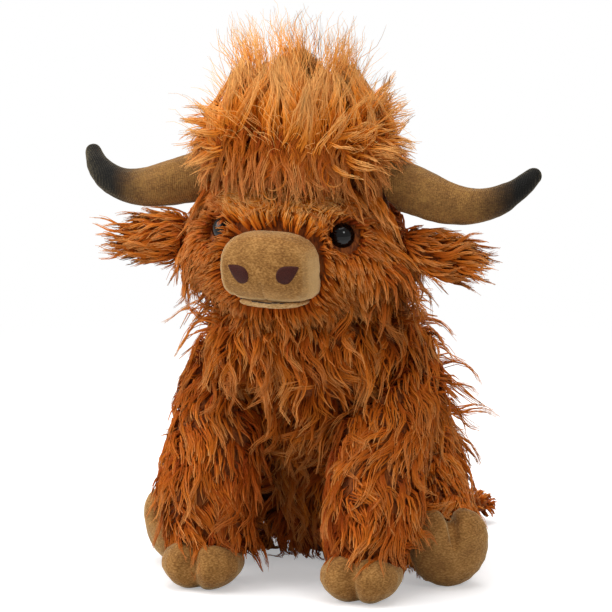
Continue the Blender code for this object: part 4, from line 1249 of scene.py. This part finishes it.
def grow_coat(
    node,
    comb,
    locks,
    per_lock,
    under,
    points,
    seed,
    width,
    wave=3.0 * MM,
    turn_over=23 * MM,
    sink=4.6 * MM,
    high=0.8 * MM,
    within=None,
    spread_tip=0.28,
    thick=1.0,
):
    """The long locks and the undercoat, each as (fibres, shades, start of each fibre)."""
    rng = np.random.default_rng(seed)
    parts = []
    for number, split, share, deep, wide in (
        (locks, per_lock, 1.0, 0.0, 1.0), (under // 2, 2, 0.56, 1.0, 0.8)
    ):
        if not number:
            continue
        roots, outward = scatter(node, number, rng, within)
        heading, length, lift, tone = comb(roots, outward, rng)
        heading = unit(heading + 0.11 * rng.normal(size=heading.shape))
        heading = heading - LIE_FLAT * outward * np.maximum((heading * outward).sum(1), 0)[:, None]
        length = length * share * rng.uniform(0.72, 1.12, number)
        layer = rng.uniform(-1.3 * MM, 0.5 * MM, number) if deep else rng.uniform(-2.2 * MM, high, number)
        lines = grow_lines(roots, outward, heading, length, lift, layer, np.full(number, sink))
        amount = wave * np.clip(length / (24 * MM), 0.25, 1.2) * rng.uniform(0.5, 1.3, number)
        lines = wave_lines(lines, outward, length, amount, turn_over, rng)
        spread = 0.72 * width * wide * rng.uniform(0.6, 1.25, number) * np.clip(length / (22 * MM), 0.4, 1.1)
        # The undercoat's tone is a little darker: painted shade deep in the pile.
        shade = tone + rng.normal(0, 0.06, number) - 0.02 * deep
        fibres, shades = split_locks(
            lines, outward, shade, spread, split, points - int(3 * deep), rng, spread_tip
        )
        parts.append((keep_inside(fibres), shades, thick + 0.9 * deep, np.repeat(roots, split, axis=0)))
    return parts


def part_of(coat, chosen):
    """The fibres of a coat whose start is chosen, as bunches for a mesh."""
    return [
        (fibres[chosen(start)], shades[chosen(start)], thick, 0.0) for fibres, shades, thick, start in coat
    ]


def everywhere(start):
    return np.ones(len(start), bool)


fur_pieces = []


def add_fur(name, body, bunches):
    obj = fur_mesh(name, bunches)
    dress(obj, faux_fur)
    triangles = sum(len(p.vertices) - 2 for p in obj.data.polygons)
    fur_pieces.append((obj, body, triangles))
    print(name, "has", sum(len(b[0]) for b in bunches), "fibres and", triangles, "triangles")


# %% [markdown]
# The body: the pile hangs down, is ruffled into loose waves, and here and there a lock stands off it.

# %% The body's pile
STRAY_SHARE = 0.16  # of the body's locks: those that stand off it


def comb_body(p, n, rng):
    low = np.clip((0.045 - p[:, 2]) / 0.03, 0, 1)[:, None]
    heading = -UP + 0.06 * n * (1, 1, 0) * (1 - low) + 0.80 * ruffle(p, 32 * MM, 11) * (1 - 0.5 * low)
    length = np.minimum(rng.uniform(22 * MM, 33 * MM, len(p)), p[:, 2] + 4 * MM)
    stray = np.random.default_rng(88).random(len(p)) < STRAY_SHARE * (p[:, 2] > 0.06)
    heading = unit(heading) * (1 - 0.35 * stray[:, None]) + 0.2 * UP * stray[:, None]
    length = length * (1 + 0.15 * stray)
    lift = 0.26 + 0.62 * stray
    # Low on the front the tone drops towards the floor: painted shade under the chest and between the front
    # legs.
    tone = (
        0.43 + 0.10 * ruffle(p, 22 * MM, 12)[:, 0]
        - 0.36 * np.clip((0.05 - p[:, 2]) / 0.05, 0, 1) * (n[:, 1] < 0)
    )
    return heading, length, lift, tone


coat = grow_coat("body", comb_body, locks=700, per_lock=11, under=6000, points=7, seed=101, width=4.6 * MM)
middle_y = np.quantile(coat[0][3][:, 1], 0.36)
add_fur("chest_fur", "torso", part_of(coat, lambda start: start[:, 1] < middle_y))
add_fur("side_fur_left", "torso", part_of(coat, lambda start: (start[:, 1] >= middle_y) & (start[:, 0] >= 0)))
add_fur("side_fur_right", "torso", part_of(coat, lambda start: (start[:, 1] >= middle_y) & (start[:, 0] < 0)))

# %% [markdown]
# The head: short round the muzzle and the eyes, longer over the cheeks, where it falls outwards and down, and
# hanging from the chin. Round each eye the pile is darker, partly airbrushed and partly painted shade of the
# hollow that the eye sits in.

# %% The head's pile
def muzzle_gap(p):
    """How far points of the face are from the edge of the muzzle, about."""
    wide, high = p[:, 0] / 0.022, (p[:, 2] - 0.1503) / 0.0165
    return ((np.abs(wide) ** 2.7 + np.abs(high) ** 2.7) ** (1 / 2.7) - 1) * 0.018


def comb_head(p, n, rng):
    side = np.clip(p[:, 0] / 0.03, -1, 1)
    gap = muzzle_gap(p)
    front = np.clip(-n[:, 1] * 1.6 + 0.2, 0, 1)[:, None]
    around = unit(np.stack([p[:, 0], 0 * side - 0.004, (p[:, 2] - 0.150) * 0.8], 1))
    cheek = unit(np.stack([0.75 * side, -0.15 + 0 * side, -0.9 + 0 * side], 1))
    away = np.clip(gap / 0.022, 0, 1)[:, None]
    away = np.clip(away + 0.35 * (p[:, 2:] < 0.158), 0, 1)
    face = around * (1 - away) + cheek * away
    rear = unit(np.stack([0.3 * side, 0.35 + 0 * side, -0.85 + 0 * side], 1))
    heading = face * front + rear * (1 - front)
    crown = np.clip((p[:, 2] - 0.186) / 0.012, 0, 1)[:, None]
    heading = heading * (1 - crown) + (UP * 0.5 + n * (1, 1, 0)) * crown
    chin = np.clip((0.136 - p[:, 2]) / 0.008, 0, 1)[:, None] * front
    heading = unit(heading) * (1 - chin) + np.array((0, -0.12, -1.0)) * chin
    heading = heading + 0.30 * ruffle(p, 30 * MM, 21) * np.clip(away + (1 - front), 0, 1)
    length = np.clip(6 * MM + 0.55 * gap + 0.5 * np.maximum(gap - 16 * MM, 0), 6 * MM, 24 * MM)
    length = length * front[:, 0] + rng.uniform(26 * MM, 33 * MM, len(p)) * (1 - front[:, 0])
    length = length * (1 - chin[:, 0]) + 24 * MM * chin[:, 0]
    tone = 0.40 + 0.10 * ruffle(p, 24 * MM, 22)[:, 0]
    lift = 0.16 + 0.08 * away[:, 0]
    for base, looks, word in EYES:
        far = np.linalg.norm(p - base, axis=1)
        close = np.clip(1 - (far - 6 * MM) / (10 * MM), 0, 1)
        outwards = unit(p - base)
        heading = heading + outwards * close[:, None] * 1.4
        length = np.minimum(length, 5 * MM + 1.1 * np.maximum(far - 6 * MM, 0))
        # Round the eye the tone drops: partly the toy's airbrushing, partly painted shade in the eye's
        # hollow.
        tone = tone - 0.36 * np.exp(-((np.maximum(far - 6 * MM, 0) / (5 * MM)) ** 2))
    return heading, length, lift, tone


def comb_ground(p, n, rng):
    """Short dense hair round the muzzle and between the eyes, combed away from the muzzle, and paler between
    the eyes: painted light where the fringe's shade falls.
    """
    heading, length, lift, tone = comb_head(p, n, rng)
    bridge = np.clip((p[:, 2] - 0.163) / 0.006, 0, 1) * np.clip((0.026 - np.abs(p[:, 0])) / 0.006, 0, 1)
    heading = unit(heading) + (UP * 0.8 - np.array((0, 0.2, 0))) * bridge[:, None]
    lift = 0.12 + 0.38 * np.clip(1 - muzzle_gap(p) / (6 * MM), 0, 1)
    # The tone is raised between the eyes: painted light where the fringe casts shade.
    return heading, np.minimum(length, 9 * MM), lift, np.maximum(tone, 0.36) + 0.60 * bridge


def on_face(p):
    """The ring of short pile round the muzzle and the eyes."""
    return (p[:, 1] < -0.052) & (muzzle_gap(p) < 26 * MM)


def off_face(p):
    """Everywhere on the head but next to the muzzle."""
    return (p[:, 1] > -0.056) | (muzzle_gap(p) > 8 * MM) | (p[:, 2] < 0.137)


coat = grow_coat(
    "head",
    comb_head,
    locks=500,
    per_lock=10,
    under=2600,
    points=7,
    seed=201,
    width=3.6 * MM,
    wave=2.4 * MM,
    sink=4.4 * MM,
    high=1.0 * MM,
    within=off_face,
)
ground = grow_coat(
    "head",
    comb_ground,
    locks=2100,
    per_lock=4,
    under=0,
    points=3,
    seed=202,
    width=2.4 * MM,
    wave=0.8 * MM,
    sink=3.0 * MM,
    within=on_face,
    spread_tip=1.1,
    thick=1.3,
)
add_fur("face_fur", "head", part_of(coat, lambda start: start[:, 1] < -0.055))
add_fur("neck_fur", "head", part_of(coat, lambda start: start[:, 1] >= -0.055))
add_fur("face_ground_fur", "head", part_of(ground, everywhere))

# %% [markdown]
# The forelock is the longest pile. Its locks rise together from the crown, bend outwards like the water
# of a fountain and end in thin tips at uneven heights. In front they fall over the forehead.

# %% The forelock
def bent(start, control, end):
    t = np.linspace(0, 1, LINE_POINTS)[None, :, None]
    return start[:, None] * (1 - t) ** 2 + 2 * control[:, None] * t * (1 - t) + end[:, None] * t**2


dome = search_tree(all_corners["forelock"])
DOME_TOP, DOME_LOW = 0.243, 0.190


def on_dome(angle, height):
    """Where the forelock's outside is, at an angle round it from straight ahead, and at a height."""
    found = np.empty((len(angle), 3))
    height = np.clip(height, DOME_LOW, DOME_TOP)
    for k, (a, z) in enumerate(zip(angle, height)):
        ray = Vector((math.sin(a), -math.cos(a), 0))
        hit = dome.ray_cast(Vector((0, FOUNTAIN[1], z)) + ray * 0.1, -ray)[0]
        found[k] = hit if hit else (0, FOUNTAIN[1], z)
    found[:, 0] *= np.interp(height, (0.206, 0.217, 0.227, 0.236, 0.243), (1.0, 0.86, 0.76, 0.80, 0.92))
    return found


def axis_at(height):
    return np.stack([0 * height, np.full(len(height), FOUNTAIN[1]), height], 1)


# Where the tips of the big tufts gather, sideways and up: the top, then the left side and the right
TOP_TIPS = ((-24, 242), (-4, 246), (19, 242))
SIDE_TIPS = ((37, 229), (48, 217), (57, 203), (-37, 224), (-45, 212), (-50, 200))
TUFT_TIPS = np.array(TOP_TIPS + SIDE_TIPS) * MM
FRINGE_RIGHT = ((-40, 181), (-31, 178), (-22, 181), (-13, 178), (-4, 181))
FRINGE_LEFT = ((4, 177), (12, 181), (20, 177), (29, 181), (38, 177))
FRINGE_TIPS = np.array(FRINGE_RIGHT + FRINGE_LEFT) * MM
ALONG = np.linspace(0, 1, LINE_POINTS)[None, :]


def gathered(lines, tips, amount):
    """Bends the ends of lines towards the nearest of the tips, as fur clumps into tufts."""
    last = lines[:, -1][:, (0, 2)]
    near = tips[np.argmin(np.linalg.norm(last[:, None] - tips[None], axis=2), axis=1)]
    near = near - np.stack([0 * last[:, 0], 0.55 * np.abs(near[:, 0] - last[:, 0])], 1)
    pull = ((near - last) * amount)[:, None] * (ALONG**1.6)[..., None]
    lines[:, :, 0] += pull[..., 0]
    lines[:, :, 2] += pull[..., 1]
    return lines


def rising_lines(count, rng):
    """Locks that start along the parting, lie on the forelock's outside and run up to its top."""
    angle = rng.uniform(-math.pi, math.pi, count)
    root = rng.uniform(0.190, 0.214, count)
    top = np.minimum(root + rng.uniform(20 * MM, 44 * MM, count), DOME_TOP - 2 * MM * rng.random(count))
    height = root[:, None] + (top - root)[:, None] * ALONG
    turn = angle[:, None] + 0.25 * np.sin(ALONG * 2 + angle[:, None] * 5)
    skin = on_dome(turn.ravel(), height.ravel())
    core = axis_at(height.ravel())
    shell = np.where(rng.random(count) < 0.3, 0.80, 1.0)[:, None]
    size = (shell * (0.80 + 0.24 * np.minimum(ALONG * 2.2, 1)) + 0 * height).ravel()[:, None]
    lines = (core + (skin - core) * size).reshape(count, LINE_POINTS, 3)
    out = unit((skin - core).reshape(count, LINE_POINTS, 3)[:, 3])
    free = rng.uniform(1, 6, count)[:, None, None] * MM * (np.clip(ALONG - 0.6, 0, 1) * 2.5)[..., None] ** 1.5
    lines = lines + free * (UP * 0.7 + out * 0.4)[:, None]
    return gathered(lines, TUFT_TIPS, 0.72), unit(out + 0.2 * UP), root


def sweeping_lines(count, side, rng):
    """Locks at the sides of the forelock, which run outwards and end in the air."""
    angle = side * rng.uniform(0.7, 2.5, count)
    root = rng.uniform(0.192, 0.216, count)
    skin = on_dome(angle, root)
    out = unit((skin - axis_at(root)) * (1, 1, 0))
    start = axis_at(root) + (skin - axis_at(root)) * 0.78
    end = (
        skin + out * rng.uniform(6, 17, (count, 1)) * MM
        + UP * (root - 0.199)[:, None] * rng.uniform(0.5, 1.6, (count, 1))
    )
    lines = bent(start, skin + out * 3 * MM + UP * 4 * MM, end)
    return gathered(lines, TUFT_TIPS, 0.40), unit(out + 0.5 * UP), root


def core_lines(count, rng):
    """Locks from inside the forelock that fill its top."""
    angle, far = rng.uniform(0, math.tau, count), np.sqrt(rng.random(count))
    edge = on_dome(angle, np.full(count, 0.222)) - axis_at(np.full(count, 0.222))
    start = axis_at(np.full(count, 0.208)) + edge * (0.50 * far)[:, None]
    last = axis_at(rng.uniform(0.236, 0.250, count) - 0.012 * far**2) + edge * (0.70 * far)[:, None]
    lines = bent(start, (start + last) / 2 + edge * 0.1, last)
    return gathered(lines, TUFT_TIPS[:3], 0.78), unit(edge + 0.3 * UP), np.full(count, 0.208)


def loose_lines(count, rng):
    """Single hairs that stand off the top and the sides."""
    angle = rng.uniform(-math.pi, math.pi, count)
    root = rng.uniform(0.200, 0.240, count)
    skin = on_dome(angle, root)
    core = axis_at(root)
    out = unit((skin - core) * (1, 1, 0))
    steep = np.clip((root - 0.200) / 0.035, 0, 1)[:, None]
    way = unit(UP * (0.25 + 0.9 * steep) + out * (0.9 - 0.65 * steep) + 0.16 * rng.normal(size=(count, 3)))
    length = rng.uniform(12, 27, (count, 1)) * MM
    start = core + (skin - core) * 0.9
    end = start + way * length
    end[:, 2] = np.minimum(end[:, 2], 0.2655 - 4 * MM * rng.random(count))
    return bent(start, start + (way + 0.25 * UP) * length * 0.5, end), unit(out + 0.2 * UP), root


def tip_lines(count, rng):
    """Single hairs that run on from the three highest tufts."""
    tip = TUFT_TIPS[rng.integers(0, 3, count)]
    start = np.stack([tip[:, 0], np.full(count, FOUNTAIN[1]), tip[:, 1] - 7 * MM], 1)
    start += rng.normal(size=(count, 3)) * (4.0 * MM, 6.0 * MM, 2.5 * MM)
    way = unit(UP + (0.012, 0, 0) * tip[:, :1] / MM + rng.normal(size=(count, 3)) * (0.20, 0.22, 0))
    end = start + way * rng.uniform(12, 26, (count, 1)) * MM
    end[:, 2] = np.minimum(end[:, 2], 0.2655 - 5 * MM * rng.random(count))
    return bent(start, start + (way + 0.25 * UP) * 8 * MM, end), np.tile((0.0, -1.0, 0.0), (count, 1))


def curled_lines(count, rng):
    """Single hairs in front that end in a ring."""
    angle = rng.uniform(-1.3, 1.3, count)
    root = rng.uniform(0.190, 0.204, count)
    skin = on_dome(angle, root)
    out = unit((skin - axis_at(root)) * (1, 1, 0))
    across = unit(np.cross(out, UP)) * np.sign(rng.normal(size=(count, 1)))
    radius = rng.uniform(3.2, 4.8, (count, 1, 1)) * MM
    phase = (ALONG * math.tau * 0.85)[..., None]
    ring = across[:, None] * np.sin(phase) * radius - UP * (1 - np.cos(phase)) * radius
    drift = (
        (out * rng.uniform(3, 6, (count, 1)) * MM - UP * rng.uniform(0, 8, (count, 1)) * MM)[:, None]
        * ALONG[..., None]
    )
    return (skin + out * 1.5 * MM)[:, None] + ring + drift, unit(out + 0.2 * UP)


def hanging_lines(start, rise, end, tips=None):
    """Locks that rise a little from their start and then fall to their end, over whatever lies between."""
    lines = bent(start, start + rise, end)
    if tips is not None:
        lines = gathered(lines, tips, 0.5)
    for k in range(3, LINE_POINTS):
        lines[:, k] = clear_windows(clear_of(lines[:, k], np.full(len(start), 0.8 * MM)))
    return lines


def fringe_lines(count, rng):
    """Locks that leave the forelock's front and fall over the forehead."""
    angle = rng.uniform(-1.5, 1.5, count)
    root = rng.uniform(0.192, 0.213, count)
    skin = on_dome(angle, root)
    start = axis_at(root) + (skin - axis_at(root)) * 0.86
    end = skin * (1.05, 1, 0) + (0, 0, 1) * rng.uniform(0.176, 0.191, count)[:, None]
    end += np.stack([rng.normal(0, 3 * MM, count), -rng.uniform(0, 4, count) * MM, np.zeros(count)], 1)
    out = unit((skin - axis_at(root)) * (1, 1, 0))
    rise = out * rng.uniform(4, 7, (count, 1)) * MM + UP * rng.uniform(-4, 2, (count, 1)) * MM
    return hanging_lines(start, rise, end, FRINGE_TIPS), unit(out + 0.2 * UP)


def temple_lines(count, side, rng):
    """Locks at the sides, which fall outwards over the roots of the horns."""
    angle = side * rng.uniform(1.1, math.pi, count)
    root = rng.uniform(0.191, 0.208, count)
    skin = on_dome(angle, root)
    start = axis_at(root) + (skin - axis_at(root)) * 0.84
    out = unit((skin - axis_at(root)) * (1, 1, 0))
    end = skin + out * rng.uniform(4, 13, (count, 1)) * MM - UP * rng.uniform(3, 20, (count, 1)) * MM
    rise = out * rng.uniform(6, 10, (count, 1)) * MM + UP * rng.uniform(0, 4, (count, 1)) * MM
    return hanging_lines(start, rise, end), unit(out + 0.5 * UP)


def locks_from(
    lines, outward, tone, width, count, points, wave, size, rng, spread_tip=0.28, thick=1.0, lightened=0.1
):
    length = np.linalg.norm(np.diff(lines, axis=1), axis=2).sum(1)
    lines = wave_lines(lines, outward, length, rng.uniform(0.5 * wave, 1.3 * wave, len(lines)), size, rng)
    fibres, shades = split_locks(
        lines, outward, tone, np.full(len(lines), width), count, points, rng, spread_tip
    )
    return keep_inside(fibres), shades, thick, lightened


rng = np.random.default_rng(301)
kinds = (
    rising_lines(500, rng), core_lines(240, rng), sweeping_lines(75, 1, rng), sweeping_lines(75, -1, rng)
)
lines, outward, root = (np.concatenate(p) for p in zip(*kinds))
# The higher a lock starts, the paler its tone: painted light from above.
tone = 0.84 + 0.12 * np.clip((root - 0.192) / 0.018, 0, 1) + rng.normal(0, 0.06, len(lines))
fibres, shades, thick, lightened = locks_from(lines, outward, tone, 2.9 * MM, 9, 6, 1.7 * MM, 24 * MM, rng, 0.30)
front = np.repeat(lines[:, -1, 1] < FOUNTAIN[1], 9)
add_fur("forelock_fur_front", "head", [(fibres[front], shades[front], thick, lightened)])
add_fur("forelock_fur_back", "head", [(fibres[~front], shades[~front], thick, lightened)])
lines, outward, root = loose_lines(620, rng)
# The single hairs start well up their colour ramp, so they skip most of its painted root shade.
wisps = locks_from(lines, outward, 0.94 + 0 * root, 1.5 * MM, 1, 7, 1.8 * MM, 22 * MM, rng, 1.2, 0.55, 0.75)
lines, outward = tip_lines(260, rng)
tips = locks_from(lines, outward, np.full(260, 0.94), 1.5 * MM, 1, 7, 1.8 * MM, 22 * MM, rng, 1.2, 0.6, 0.6)
add_fur("forelock_wisps", "head", [wisps, tips])
lines, outward = fringe_lines(230, rng)
tone = 0.34 + rng.normal(0, 0.13, len(lines))
fringe = locks_from(lines, outward, tone, 2.2 * MM, 9, 7, 1.9 * MM, 20 * MM, rng)
lines, outward = curled_lines(10, rng)
curls = locks_from(lines, outward, np.full(10, 0.70), 0.5 * MM, 2, 12, 0.3 * MM, 20 * MM, rng, 0.28, 0.8)
temples = []
for side, word in SIDES:
    lines, outward = temple_lines(110, side, rng)
    tone = 0.48 + rng.normal(0, 0.10, len(lines))
    temples.append(locks_from(lines, outward, tone, 2.2 * MM, 7, 6, 1.8 * MM, 20 * MM, rng))
add_fur("forelock_fringe", "head", [fringe, curls] + temples)

# %% [markdown]
# The ears: flat leaves whose pile streams outwards and hangs from the lower edge. The hollow near the
# root lies in shade.

# %% The ears' pile
def comb_ear(side):
    def comb(p, n, rng):
        heading = np.array((0.95 * side, -0.08, 0.06)) + 0.24 * ruffle(p, 20 * MM, 41)
        heading = heading + np.array((0, 0, -0.20)) * np.clip(-n[:, 2], 0, 1)[:, None]
        heading = heading + np.array((0, 0, 0.16)) * np.clip(n[:, 2], 0, 1)[:, None]
        length = rng.uniform(13 * MM, 20 * MM, len(p))
        hollow = np.clip((0.058 - np.abs(p[:, 0])) / 0.010, 0, 1) * (n[:, 1] < -0.3)
        tone = 0.46 - 0.42 * hollow
        return heading, length * (1 - 0.4 * hollow), np.full(len(p), 0.32), tone

    return comb


for side, word in SIDES:
    coat = grow_coat(
        f"ear_{word}",
        comb_ear(side),
        locks=120,
        per_lock=9,
        under=420,
        points=6,
        seed=400 + side,
        width=2.2 * MM,
        wave=1.5 * MM,
        turn_over=20 * MM,
        sink=2.4 * MM,
        high=1.0 * MM,
    )
    add_fur(f"ear_fur_{word}", f"{word}_ear", part_of(coat, everywhere))

# %% [markdown]
# The legs: the pile falls down the leg and flares over the hoof like a skirt.

# %% The legs' pile
def comb_front_leg(side):
    def comb(p, n, rng):
        heading = np.array((0.02 * side, -0.06, -1.0)) + 0.62 * ruffle(p, 28 * MM, 51)
        hem = np.clip((0.040 - p[:, 2]) / 0.025, 0, 1)[:, None]
        heading = heading + n * (1, 1, 0) * 0.12 * hem
        outer = np.clip(n[:, 0] * side, 0, 1)
        length = rng.uniform(20 * MM, 29 * MM, len(p)) - (11 + 4 * outer) * MM * hem[:, 0]
        # The leg's inner side, which faces the other leg, is darker: painted shade between the legs.
        tone = 0.38 + 0.10 * ruffle(p, 22 * MM, 52)[:, 0] - 0.22 * (n[:, 0] * side < -0.5)
        return heading, length, np.full(len(p), 0.26), tone

    return comb


def comb_hind_leg(side):
    def comb(p, n, rng):
        ahead = (p[:, 1] - 0.027) / -0.06
        heading = np.array((0.05 * side, -0.15, -0.95)) + 0.55 * ruffle(p, 26 * MM, 61)
        length = (
            np.minimum(rng.uniform(17 * MM, 24 * MM, len(p)), p[:, 2] + 3 * MM)
            - 6 * MM * np.clip(ahead, 0, 1)
        )
        tone = 0.45 + 0.10 * ruffle(p, 22 * MM, 62)[:, 0]
        return heading, np.maximum(length, 8 * MM), np.full(len(p), 0.24), tone

    return comb


for side, word in SIDES:
    coat = grow_coat(
        f"front_leg_{word}",
        comb_front_leg(side),
        locks=200,
        per_lock=11,
        under=2000,
        points=7,
        seed=500 + side,
        width=4.6 * MM,
        wave=2.4 * MM,
        sink=4.2 * MM,
        high=0.6 * MM,
    )
    add_fur(f"front_leg_fur_{word}", f"{word}_front_leg", part_of(coat, everywhere))
    coat = grow_coat(
        f"hind_leg_{word}",
        comb_hind_leg(side),
        locks=150,
        per_lock=10,
        under=1400,
        points=7,
        seed=600 + side,
        width=3.8 * MM,
        wave=1.8 * MM,
        sink=4.2 * MM,
        high=0.5 * MM,
    )
    add_fur(f"hind_leg_fur_{word}", f"{word}_hind_leg", part_of(coat, everywhere))

# %% [markdown]
# The tail can't be seen in the photograph. It is made plainly: a cord of the same fur with a tuft.

# %% The tail's pile
def comb_tail(p, n, rng):
    hanging = np.clip((p[:, 2] - 0.012) / 0.008, 0, 1)[:, None]
    heading = np.array((0.1, 0.45, -0.9)) * hanging + np.array((1.0, 0.1, -0.1)) * (1 - hanging)
    heading = heading + 0.2 * ruffle(p, 15 * MM, 71)
    return heading, rng.uniform(9 * MM, 13 * MM, len(p)), np.full(len(p), 0.3), np.full(len(p), 0.45)


def comb_tuft(p, n, rng):
    heading = np.array((0.10, 0.80, -0.15)) + 0.2 * ruffle(p, 18 * MM, 72)
    return heading, rng.uniform(5 * MM, 7 * MM, len(p)), np.full(len(p), 0.3), np.full(len(p), 0.5)


tail_coat = grow_coat(
    "tail",
    comb_tail,
    locks=60,
    per_lock=7,
    under=200,
    points=6,
    seed=701,
    width=1.5 * MM,
    wave=0.7 * MM,
    turn_over=16 * MM,
    sink=1.6 * MM,
)
tuft_coat = grow_coat(
    "tail_tuft",
    comb_tuft,
    locks=80,
    per_lock=9,
    under=260,
    points=7,
    seed=702,
    width=2.0 * MM,
    wave=1.2 * MM,
    turn_over=18 * MM,
    sink=3.5 * MM,
    high=1.0 * MM,
)
add_fur("tail_fur", "tail", part_of(tail_coat + tuft_coat, everywhere))

print("fur triangles in all:", sum(t for o, b, t in fur_pieces))

# %% [markdown]
# Every limb is sewn on by a seam. The fabric and the pile of the ears, the legs and the tail stay where they
# are made, in the scene's own frame; every other piece rides on its body.

# %% Seams
seams = {"tail": ("torso", (0, 0.064, 0.034), (0, 0.076, 0.034))}
for side, word in SIDES:
    ahead = np.array((side * math.sin(HIND_YAW), -math.cos(HIND_YAW), 0))
    hip = np.array((side * 0.029, 0.096 + FEET_Y, 0.0275))
    seams[f"{word}_ear"] = ("head", (side * 0.043, -0.0524, 0.1575), (side * 0.052, -0.0524, 0.1575))
    seams[f"{word}_front_leg"] = ("torso", (side * 0.038, -0.033, 0.108), (side * 0.038, -0.033, 0.076))
    seams[f"{word}_hind_leg"] = ("torso", tuple(hip - 8 * MM * ahead), tuple(hip + 18 * MM * ahead))
for obj, body in backings + [(obj, body) for obj, body, triangles in fur_pieces]:
    if body in seams:
        parent, start, end = seams[body]
        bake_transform(obj)
    else:
        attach(obj, body)
print("seams that bend:", sorted(seams))

# %% [markdown]
# Update the scene and finish.

# %% Finish
bpy.context.view_layer.update()
